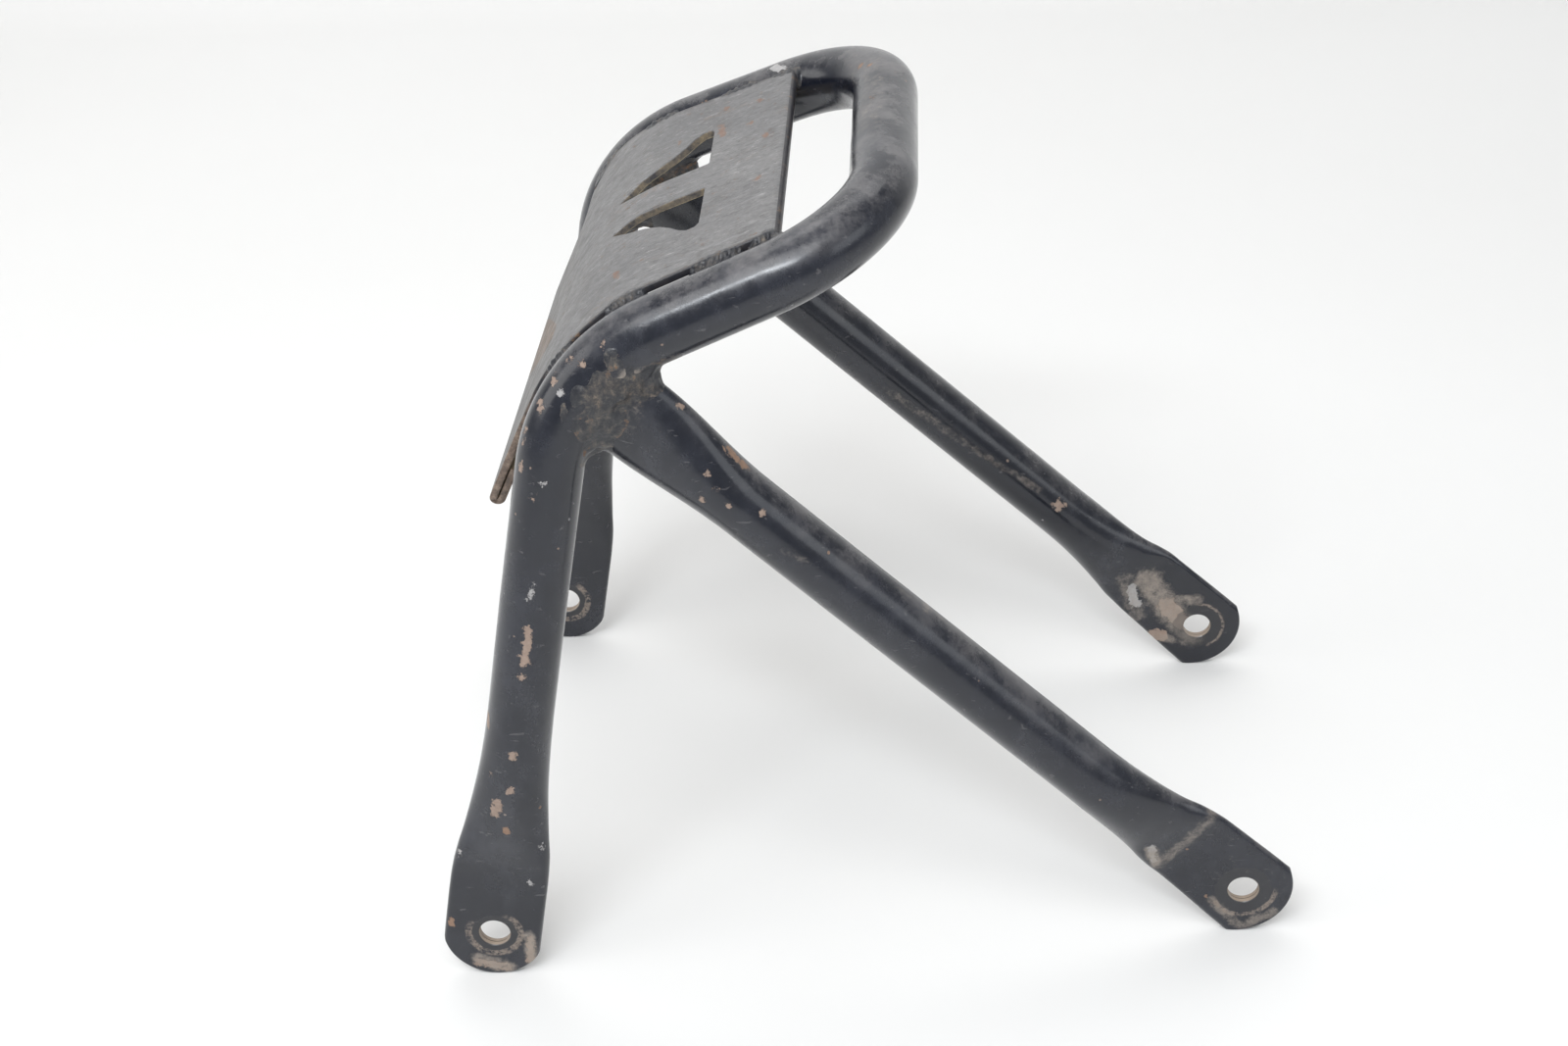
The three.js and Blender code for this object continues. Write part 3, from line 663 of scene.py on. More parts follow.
class Graph:
    def __init__(self, name):
        self.m = bpy.data.materials.new(name)
        self.m.use_nodes = True
        self.t = self.m.node_tree
        self.t.nodes.clear()
        self.out = self.n("ShaderNodeOutputMaterial")
        self.b = self.n("ShaderNodeBsdfPrincipled")
        self.link(self.b.outputs[0], self.out.inputs[0])
        self.co = self.n("ShaderNodeTexCoord").outputs["Object"]

    def n(self, kind):
        return self.t.nodes.new(kind)

    def link(self, a, b):
        self.t.links.new(a, b)

    def put(self, value, socket):
        if isinstance(value, bpy.types.NodeSocket):
            self.link(value, socket)
        else:
            socket.default_value = value

    def noise(self, scale, detail=4, rough=0.55, vec=None, dist=0.0, out="Fac"):
        n = self.n("ShaderNodeTexNoise")
        self.link(vec or self.co, n.inputs["Vector"])
        n.inputs["Scale"].default_value = scale
        n.inputs["Detail"].default_value = detail
        n.inputs["Roughness"].default_value = rough
        n.inputs["Distortion"].default_value = dist
        return n.outputs[out]

    def voronoi(self, scale, vec=None, feature="F1", out="Distance", rand=1.0):
        n = self.n("ShaderNodeTexVoronoi")
        n.feature = feature
        self.link(vec or self.co, n.inputs["Vector"])
        n.inputs["Scale"].default_value = scale
        n.inputs["Randomness"].default_value = rand
        return n.outputs[out] if out else n

    def math(self, op, a, b=0.0, c=None, clamp=False):
        n = self.n("ShaderNodeMath")
        n.operation = op
        n.use_clamp = clamp
        self.put(a, n.inputs[0])
        self.put(b, n.inputs[1])
        if c is not None:
            self.put(c, n.inputs[2])
        return n.outputs[0]

    def step(self, v, lo, hi, a=0.0, b=1.0):
        """Smooth step of v between lo and hi, giving a..b."""
        n = self.n("ShaderNodeMapRange")
        n.interpolation_type = "SMOOTHSTEP"
        self.put(v, n.inputs["Value"])
        self.put(lo, n.inputs["From Min"])
        self.put(hi, n.inputs["From Max"])
        n.inputs["To Min"].default_value = a
        n.inputs["To Max"].default_value = b
        return n.outputs[0]

    def mix(self, fac, a, b, mode="MIX"):
        n = self.n("ShaderNodeMix")
        n.data_type = "RGBA"
        n.blend_type = mode
        self.put(fac, n.inputs["Factor"])
        for v, s in ((a, n.inputs[6]), (b, n.inputs[7])):
            self.put(v if isinstance(v, bpy.types.NodeSocket) else (*v, 1.0), s)
        return n.outputs[2]

    def fmix(self, fac, a, b):
        n = self.n("ShaderNodeMix")
        n.data_type = "FLOAT"
        self.put(fac, n.inputs["Factor"])
        self.put(a, n.inputs[2])
        self.put(b, n.inputs[3])
        return n.outputs[0]

    def scaled(self, sx, sy, sz, rot=(0, 0, 0), vec=None):
        n = self.n("ShaderNodeMapping")
        self.link(vec or self.co, n.inputs["Vector"])
        n.inputs["Rotation"].default_value = rot
        n.inputs["Scale"].default_value = (sx, sy, sz)
        return n.outputs[0]

    def attr(self, name):
        n = self.n("ShaderNodeAttribute")
        n.attribute_type = "GEOMETRY"
        n.attribute_name = name
        return n.outputs["Fac"]

    def normal_z(self):
        g = self.n("ShaderNodeNewGeometry")
        s = self.n("ShaderNodeSeparateXYZ")
        self.link(g.outputs["Normal"], s.inputs[0])
        return s.outputs

    def xyz(self):
        s = self.n("ShaderNodeSeparateXYZ")
        self.link(self.co, s.inputs[0])
        return s.outputs

    def ramp(self, fac, stops, interp="LINEAR"):
        n = self.n("ShaderNodeValToRGB")
        n.color_ramp.interpolation = interp
        self.put(fac, n.inputs[0])
        e = n.color_ramp.elements
        while len(e) < len(stops):
            e.new(0.5)
        for el, (p, c) in zip(e, stops):
            el.position = p
            el.color = (*c, 1.0)
        return n.outputs[0]

    def bump(self, height, dist, strength=1.0, normal=None):
        n = self.n("ShaderNodeBump")
        n.inputs["Strength"].default_value = strength
        n.inputs["Distance"].default_value = dist
        self.link(height, n.inputs["Height"])
        if normal is not None:
            self.link(normal, n.inputs["Normal"])
        return n.outputs[0]


def tube_paint(name, hole_x, inner, outer, facing):
    """inner, outer: radii of the bare ring round the bolt; facing: where it shows."""
    g = Graph(name)
    big = g.noise(22, 3, 0.55)
    mid = g.noise(150, 5, 0.6)
    fine = g.noise(1400, 3, 0.6)
    # paint: near black, slightly blue, greyer where it is dulled
    dull = g.step(g.math("ADD", g.math("MULTIPLY", big, 0.6), g.math("MULTIPLY", mid, 0.4)), 0.42, 0.66)
    col = g.mix(dull, (0.0065, 0.0080, 0.014), (0.017, 0.019, 0.028))
    # upward faces: grey dust, made paler than the dust alone as a painted highlight on the tops
    up = g.normal_z()["Z"]
    cloud = g.noise(70, 7, 0.72)
    dust_and_top_highlight = g.math("MULTIPLY", g.step(up, 0.25, 0.98), g.step(cloud, 0.38, 0.70))
    col = g.mix(g.math("MULTIPLY", dust_and_top_highlight, 0.55), col, (0.235, 0.222, 0.220))
    haze = g.step(g.noise(38, 6, 0.68, g.scaled(1.0, 1.0, 0.6)), 0.50, 0.72)
    col = g.mix(g.math("MULTIPLY", haze, 0.16), col, (0.12, 0.125, 0.145))
    rough = g.fmix(dull, 0.17, 0.33)
    rough = g.fmix(g.math("MULTIPLY", dust_and_top_highlight, 0.6), rough, 0.58)
    rough = g.fmix(g.math("MULTIPLY", haze, 0.5), rough, 0.45)
    rough = g.math("ADD", rough, g.math("MULTIPLY", g.math("SUBTRACT", fine, 0.5), 0.10))
    # fine scuffs
    scuff = g.step(g.noise(620, 3, 0.5, g.scaled(0.25, 1.4, 0.9, (0.3, 0.7, 0.2)), 0.6), 0.66, 0.72)
    col = g.mix(g.math("MULTIPLY", scuff, 0.22), col, (0.22, 0.21, 0.21))
    # small random chips
    warp = g.noise(900, 2, 0.5)
    vor = g.voronoi(92, out=None)
    cell = g.n("ShaderNodeSeparateColor")
    g.link(vor.outputs["Color"], cell.inputs[0])
    rad = g.math("MULTIPLY", g.step(cell.outputs[0], 0.90, 1.0), 0.15)
    edge = g.math("ADD", vor.outputs["Distance"], g.math("MULTIPLY", g.math("SUBTRACT", warp, 0.5), 0.16))
    chip1 = g.step(g.math("SUBTRACT", rad, edge), 0.0, 0.02)
    vor2 = g.voronoi(330, out=None)
    cell2 = g.n("ShaderNodeSeparateColor")
    g.link(vor2.outputs["Color"], cell2.inputs[0])
    rad2 = g.math("MULTIPLY", g.step(cell2.outputs[1], 0.965, 1.0), 0.24)
    chip2 = g.step(g.math("SUBTRACT", rad2, g.math("ADD", vor2.outputs["Distance"], g.math("MULTIPLY", g.math("SUBTRACT", warp, 0.5), 0.2))), 0.0, 0.05)
    # placed chips: signed distance in mm, kept on the mesh
    sd = g.attr("chip")
    tone = g.attr("tone")
    rag = g.noise(430, 6, 0.78)
    placed = g.step(g.math("ADD", sd, g.math("MULTIPLY", g.math("SUBTRACT", rag, 0.5), 7.5)), 0.28, -0.05)
    tan = g.mix(g.noise(700, 3, 0.6), (0.40, 0.30, 0.24), (0.19, 0.13, 0.10))
    orange = g.mix(g.noise(600, 3, 0.6), (0.34, 0.215, 0.145), (0.17, 0.10, 0.065))
    grey = g.mix(g.noise(800, 3, 0.6), (0.48, 0.46, 0.45), (0.24, 0.235, 0.235))
    cc = g.mix(g.step(cell.outputs[2], 0.35, 0.5), tan, g.mix(g.step(cell.outputs[1], 0.45, 0.6), orange, grey))
    pc = g.mix(g.step(tone, 0.3, 0.4), tan, g.mix(g.step(tone, 0.6, 0.7), orange, grey))
    col = g.mix(g.math("MULTIPLY", chip1, 0.8), col, cc)
    col = g.mix(g.math("MULTIPLY", chip2, 0.7), col, cc)
    col = g.mix(placed, col, pc)
    chips = g.math("MAXIMUM", g.math("MAXIMUM", chip1, chip2), placed)
    # rubbed and dusty places
    rub = g.attr("rub")
    rm = g.step(g.math("ADD", rub, g.math("MULTIPLY", g.math("SUBTRACT", g.noise(300, 9, 0.82), 0.5), 2.0)), 0.40, 1.20)
    rm = g.math("MULTIPLY", rm, g.step(rub, 0.02, 0.25))
    col = g.mix(g.math("MULTIPLY", rm, 0.85), col, g.mix(g.noise(240, 4, 0.6), (0.40, 0.345, 0.29), (0.20, 0.165, 0.14)))
    rough = g.fmix(g.math("MULTIPLY", rub, 0.6), rough, 0.55)
    # grime and rust near the strut welds, from the mesh
    grime = g.attr("grime")
    gm = g.step(g.math("ADD", grime, g.math("MULTIPLY", g.math("SUBTRACT", g.noise(210, 7, 0.72), 0.5), 1.5)), 0.50, 0.86)
    gcol = g.ramp(g.noise(420, 8, 0.76), [(0.34, (0.030, 0.028, 0.028)), (0.5, (0.105, 0.088, 0.074)), (0.66, (0.25, 0.195, 0.145))])
    col = g.mix(g.math("MULTIPLY", gm, 0.75), col, gcol)
    rough = g.fmix(chips, rough, 0.75)
    rough = g.fmix(gm, rough, 0.66)
    # bolt seat: dull washer print, bare dirty ring at its edge
    x, z = g.xyz()["X"], g.xyz()["Z"]
    dx = g.math("SUBTRACT", x, (hole_x + SHIFT) * MM)
    dz = g.math("SUBTRACT", z, (HOLE_Z + LIFT) * MM)
    r = g.math("MULTIPLY", g.math("SQRT", g.math("ADD", g.math("MULTIPLY", dx, dx), g.math("MULTIPLY", dz, dz))), 1000.0)
    rw = g.math("ADD", r, g.math("MULTIPLY", g.math("SUBTRACT", g.noise(230, 4, 0.6), 0.5), 2.0))
    aim = g.math("ADD", g.math("MULTIPLY", dx, facing[0] * 1000), g.math("MULTIPLY", dz, facing[1] * 1000))
    aim = g.math("ADD", aim, g.math("MULTIPLY", g.math("SUBTRACT", g.noise(120, 3, 0.6), 0.5), 9.0))
    bare = g.math("MULTIPLY", g.step(rw, inner - 0.2, inner + 0.35), g.step(rw, outer + 0.5, outer - 0.4))
    bare = g.math("MULTIPLY", bare, g.step(aim, facing[2] - 2.0, facing[2] + 2.0))
    bare = g.math("MULTIPLY", bare, g.step(g.noise(420, 7, 0.78), 0.40, 0.58))
    col = g.mix(g.math("MULTIPLY", bare, 0.82), col, g.mix(g.noise(500, 4, 0.6), (0.37, 0.31, 0.26), (0.17, 0.125, 0.095)))
    rough = g.fmix(bare, rough, 0.7)
    seat = g.math("MULTIPLY", g.step(rw, inner + 0.2, inner - 0.4), g.step(r, 5.3, 5.7))
    col = g.mix(g.math("MULTIPLY", seat, 0.5), col, (0.030, 0.029, 0.030))
    rough = g.fmix(g.math("MULTIPLY", seat, 0.7), rough, 0.5)
    wall = g.step(r, 5.75, 5.45)
    col = g.mix(wall, col, g.mix(g.noise(400, 4, 0.6), (0.36, 0.27, 0.19), (0.22, 0.185, 0.16)))
    rough = g.fmix(wall, rough, 0.6)
    # relief
    h = g.math("ADD", g.math("MULTIPLY", chips, -0.12), g.math("MULTIPLY", g.noise(320, 4, 0.5), 0.035))
    h = g.math("ADD", h, g.math("MULTIPLY", g.noise(60, 3, 0.5), 0.25))
    h = g.math("ADD", h, g.math("MULTIPLY", fine, 0.010))
    h = g.math("ADD", h, g.math("MULTIPLY", gm, g.math("MULTIPLY", g.noise(700, 4, 0.6), 0.22)))
    h = g.math("ADD", h, g.math("MULTIPLY", g.step(r, inner - 0.3, inner + 0.2), 0.05))
    g.link(g.bump(h, 0.001, 0.9), g.b.inputs["Normal"])
    g.link(col, g.b.inputs["Base Color"])
    g.link(rough, g.b.inputs["Roughness"])
    g.b.inputs["Specular IOR Level"].default_value = 0.5
    g.b.inputs["Coat Weight"].default_value = 0.3
    g.b.inputs["Coat Roughness"].default_value = 0.17
    return g.m


def deck_paint():
    g = Graph("deck_grey")
    # stretched noise gives the grain along the sheet
    grain = g.noise(420, 6, 0.65, g.scaled(1.0, 5.0, 1.0))
    big = g.noise(28, 4, 0.6)
    mid = g.noise(160, 5, 0.65)
    fine = g.noise(900, 5, 0.7)
    base = g.ramp(g.math("ADD", g.math("MULTIPLY", big, 0.5), g.math("MULTIPLY", mid, 0.5)),
                  [(0.3, (0.120, 0.118, 0.120)), (0.5, (0.185, 0.180, 0.178)), (0.7, (0.250, 0.242, 0.235))])
    base = g.mix(g.math("MULTIPLY", g.step(grain, 0.42, 0.70), 0.62), base, (0.072, 0.070, 0.073))
    blot = g.step(g.noise(95, 7, 0.75), 0.50, 0.66)
    base = g.mix(g.math("MULTIPLY", blot, 0.40), base, (0.095, 0.086, 0.079))
    streak = g.step(g.noise(170, 9, 0.82, g.scaled(1.0, 3.2, 1.0, (0, 0, 0.25))), 0.50, 0.62)
    base = g.mix(g.math("MULTIPLY", streak, 0.60), base, (0.062, 0.058, 0.058))
    worn = g.step(g.noise(210, 9, 0.82, g.scaled(1.0, 2.6, 1.0, (0, 0, 0.25))), 0.54, 0.66)
    base = g.mix(g.math("MULTIPLY", worn, 0.62), base, (0.46, 0.44, 0.425))
    base = g.mix(g.math("MULTIPLY", g.step(g.noise(520, 5, 0.7, g.scaled(1.0, 7.0, 1.0)), 0.52, 0.72), 0.45), base, (0.33, 0.33, 0.33))
    base = g.mix(g.math("MULTIPLY", g.step(fine, 0.30, 0.70), 0.35), base, (0.10, 0.10, 0.105))
    # fine scratches
    for k, (rz, sc) in enumerate(((0.5, 260), (-0.9, 330))):
        line = g.step(g.noise(sc, 2, 0.4, g.scaled(0.12, 1.6, 1.0, (0, 0, rz)), 0.3), 0.665, 0.70)
        base = g.mix(g.math("MULTIPLY", line, 0.16), base, (0.40, 0.40, 0.40))
    # rust specks and faint streaks
    rust = g.mix(g.noise(600, 3, 0.6), (0.30, 0.145, 0.065), (0.17, 0.10, 0.065))
    speck = g.step(g.noise(260, 8, 0.80), 0.60, 0.665)
    base = g.mix(g.math("MULTIPLY", speck, 0.65), base, rust)
    patch = g.math("MULTIPLY", g.step(g.noise(45, 5, 0.6, g.scaled(0.6, 1.6, 0.6)), 0.58, 0.72), g.step(g.noise(500, 5, 0.7), 0.45, 0.6))
    base = g.mix(g.math("MULTIPLY", patch, 0.42), base, (0.24, 0.15, 0.095))
    # painted shade: the sheet is made darker towards the bottom of the front slope
    low = g.step(g.xyz()["Z"], 0.236, 0.205)
    base = g.mix(g.math("MULTIPLY", low, 0.62), base, (0.100, 0.095, 0.090))
    lip = g.attr("lip")
    lm = g.step(g.math("ADD", lip, g.math("MULTIPLY", g.math("SUBTRACT", g.noise(300, 5, 0.7), 0.5), 0.25)), 0.45, 0.55)
    base = g.mix(g.math("MULTIPLY", lm, 0.92), base, g.ramp(g.noise(340, 7, 0.75), [(0.34, (0.040, 0.032, 0.028)), (0.5, (0.125, 0.085, 0.060)), (0.66, (0.24, 0.165, 0.115))]))
    sd = g.attr("chip")
    placed = g.step(g.math("ADD", sd, g.math("MULTIPLY", g.math("SUBTRACT", g.noise(430, 6, 0.78), 0.5), 7.0)), 0.5, 0.1)
    base = g.mix(g.math("MULTIPLY", placed, 0.85), base, g.mix(g.noise(500, 3, 0.6), (0.26, 0.145, 0.095), (0.12, 0.075, 0.055)))
    pits = g.step(fine, 0.655, 0.72)
    base = g.mix(g.math("MULTIPLY", pits, 0.6), base, (0.045, 0.042, 0.04))
    # dust of the weld spatter along the two side edges
    near = g.attr("border")
    nb = g.step(g.math("ADD", near, g.math("MULTIPLY", g.math("SUBTRACT", g.noise(260, 6, 0.7), 0.5), 0.9)), 0.55, 0.85)
    base = g.mix(g.math("MULTIPLY", nb, 0.7), base, g.ramp(g.noise(380, 5, 0.6), [(0.35, (0.030, 0.031, 0.036)), (0.6, (0.075, 0.060, 0.050))]))
    # below the outer face: gold and brown cut walls, olive underside; black rim
    dep = g.attr("depth")
    er = g.step(g.math("ADD", dep, g.math("MULTIPLY", g.math("SUBTRACT", g.noise(500, 4, 0.65), 0.5), 0.25)), 0.22, 0.42)
    ecol = g.ramp(g.noise(200, 8, 0.76), [(0.38, (0.040, 0.038, 0.042)), (0.5, (0.120, 0.100, 0.078)), (0.60, (0.21, 0.165, 0.105)), (0.72, (0.34, 0.27, 0.175))])
    base = g.mix(er, base, ecol)
    under = g.step(dep, 2.30, 2.45)
    base = g.mix(under, base, g.ramp(g.noise(160, 7, 0.72), [(0.34, (0.12, 0.085, 0.050)), (0.5, (0.30, 0.245, 0.145)), (0.66, (0.47, 0.40, 0.27))]))
    k = g.attr("rim")
    kr = g.step(g.math("ADD", k, g.math("MULTIPLY", g.math("SUBTRACT", g.noise(330, 5, 0.65), 0.5), 0.5)), 0.4, 0.6)
    kr = g.math("MULTIPLY", kr, g.step(g.math("ADD", g.math("MULTIPLY", dep, 1.0), g.step(k, 0.8, 1.0)), 0.15, 0.5))
    kcol = g.ramp(g.noise(240, 6, 0.7), [(0.35, (0.014, 0.015, 0.021)), (0.58, (0.035, 0.032, 0.034)), (0.68, (0.16, 0.095, 0.055))])
    tip = g.math("MULTIPLY", kr, g.step(g.xyz()["Z"], 0.222, 0.206))
    base = g.mix(kr, base, kcol)
    base = g.mix(g.math("MULTIPLY", tip, 0.9), base, g.ramp(g.noise(330, 7, 0.75), [(0.35, (0.060, 0.045, 0.036)), (0.5, (0.17, 0.12, 0.09)), (0.66, (0.33, 0.25, 0.19))]))
    rough = g.fmix(g.step(mid, 0.35, 0.7), 0.40, 0.60)
    rough = g.fmix(er, rough, 0.75)
    rough = g.fmix(kr, rough, 0.35)
    rough = g.fmix(speck, rough, 0.8)
    h = g.math("ADD", g.math("MULTIPLY", grain, 0.07), g.math("MULTIPLY", g.noise(260, 4, 0.6), 0.10))
    h = g.math("ADD", h, g.math("MULTIPLY", pits, -0.08))
    h = g.math("ADD", h, g.math("MULTIPLY", speck, 0.05))
    h = g.math("ADD", h, g.math("MULTIPLY", fine, 0.05))
    g.link(g.bump(h, 0.001, 0.85), g.b.inputs["Normal"])
    g.link(base, g.b.inputs["Base Color"])
    g.link(rough, g.b.inputs["Roughness"])
    g.b.inputs["Metallic"].default_value = 0.0
    return g.m


def weld_paint(name, rusty):
    g = Graph(name)
    n = g.noise(240, 8, 0.76)
    col = g.ramp(n, [(0.34, (0.009, 0.010, 0.014)), (0.50, (0.026, 0.027, 0.032)), (0.60, (0.085, 0.076, 0.068)), (0.72, (0.27, 0.215, 0.165))])
    dusty = g.step(g.noise(85, 5, 0.65), 0.60 - rusty, 0.74 - rusty)
    tan = g.ramp(g.noise(420, 8, 0.78), [(0.38, (0.022, 0.022, 0.026)), (0.52, (0.105, 0.090, 0.078)), (0.62, (0.25, 0.195, 0.145)), (0.74, (0.40, 0.32, 0.25))])
    col = g.mix(g.math("MULTIPLY", dusty, 0.75), col, tan)
    rust = g.mix(g.noise(500, 5, 0.7), (0.27, 0.135, 0.060), (0.12, 0.070, 0.045))
    rm = g.math("MULTIPLY", g.step(g.noise(120, 5, 0.65), 0.62 - 0.3 * rusty, 0.68 - 0.3 * rusty), g.step(g.noise(560, 6, 0.75), 0.44, 0.56))
    col = g.mix(g.math("MULTIPLY", rm, 0.8), col, rust)
    g.link(col, g.b.inputs["Base Color"])
    g.link(g.fmix(g.math("MAXIMUM", rm, dusty), g.fmix(g.step(n, 0.45, 0.7), 0.28, 0.6), 0.78), g.b.inputs["Roughness"])
    h = g.math("ADD", g.math("MULTIPLY", g.noise(420, 5, 0.6), 0.45), g.math("MULTIPLY", g.noise(1500, 3, 0.6), 0.06))
    g.link(g.bump(h, 0.001, 0.9), g.b.inputs["Normal"])
    return g.m


def attribute(ob, name, values):
    a = ob.data.attributes.get(name) or ob.data.attributes.new(name, "FLOAT", "POINT")
    a.data.foreach_set("value", np.asarray(values, np.float32))


def coords(ob):
    a = np.empty(len(ob.data.vertices) * 3)
    ob.data.vertices.foreach_get("co", a)
    return a.reshape(-1, 3) * 1000.0


# placed wear: (start, end, radius, tone) in mm in the frame's own coordinates
RUBS = [((119.5, -84.2, 53.2), (101.7, -85.3, 31.2), 2.44, 0.75), ((98.5, -87.6, 39.4), (100.9, -85.7, 32.5), 2.1, 1.0),
        ((110.8, 80.7, 41.6), (129.1, 84.1, 14.4), 5.26, 0.95), ((101.9, 79.3, 42.6), (107.4, 80.8, 24.2), 3.63, 0.7),
        ((6.6, 73.6, 135.7), (36.9, 73.9, 111.3), 1.9, 0.6), ((38.8, 73.9, 110.0), (66.0, 75.4, 88.5), 1.54, 0.6),
        ((-139.2, -107.0, 6.8), (-128.7, -107.0, 2.6), 2.5, 1.0), ((-120.2, -107.0, 17.4), (-120.3, -107.0, 5.9), 1.94, 1.0),
        ((121.2, -84.4, 14.2), (130.8, -84.4, 3.2), 1.79, 0.8), ((132.3, -84.4, 2.3), (143.7, -84.4, 8.7), 1.81, 0.8),
        ((125.3, -84.4, 26.8), (142.9, -84.4, 20.1), 7.82, 0.35), ((5.0, 43.3, 282.6), (3.9, -14.2, 282.2), 4.48, 0.5),
        ((-3.4, 54.2, 278.6), (-1.9, 10.7, 274.7), 3.14, 0.4), ((-53.3, -61.0, 258.7), (-34.3, -62.3, 266.4), 2.49, 0.4),
        ((-71.2, -73.3, 252.1), (-56.3, -64.1, 257.5), 2.16, 0.35), ((20.7, -80.7, 140.0), (20.7, -86.0, 140.8), 1.31, 0.9),
        ((-24.5, -94.6, 169.9), (16.2, -84.2, 145.1), 1.58, 0.55), ((19.4, -83.8, 142.1), (52.1, -82.1, 110.1), 1.62, 0.45),
        ((-84.5, -93.1, 214.3), (-84.5, -93.1, 214.3), 2.78, 0.95), ((-79.9, -93.2, 224.2), (-70.8, -91.8, 233.0), 2.76, 0.9),
        ((-70.8, -91.8, 233.0), (-60.0, -89.7, 233.0), 2.44, 0.85), ((-66.6, -91.7, 227.3), (-73.1, -85.9, 210.0), 3.67, 0.5),
        ((-129.8, -107.0, 42.2), (-121.5, -107.0, 39.9), 3.47, 0.3), ((125.1, 80.8, 31.8), (131.9, 80.8, 31.8), 2.44, 0.8),
        ((115.9, 80.8, 14.4), (122.4, 80.8, 12.3), 2.05, 0.8), ((-108.9, -106.2, 148.9), (-108.8, -108.0, 134.6), 1.92, 0.35)]
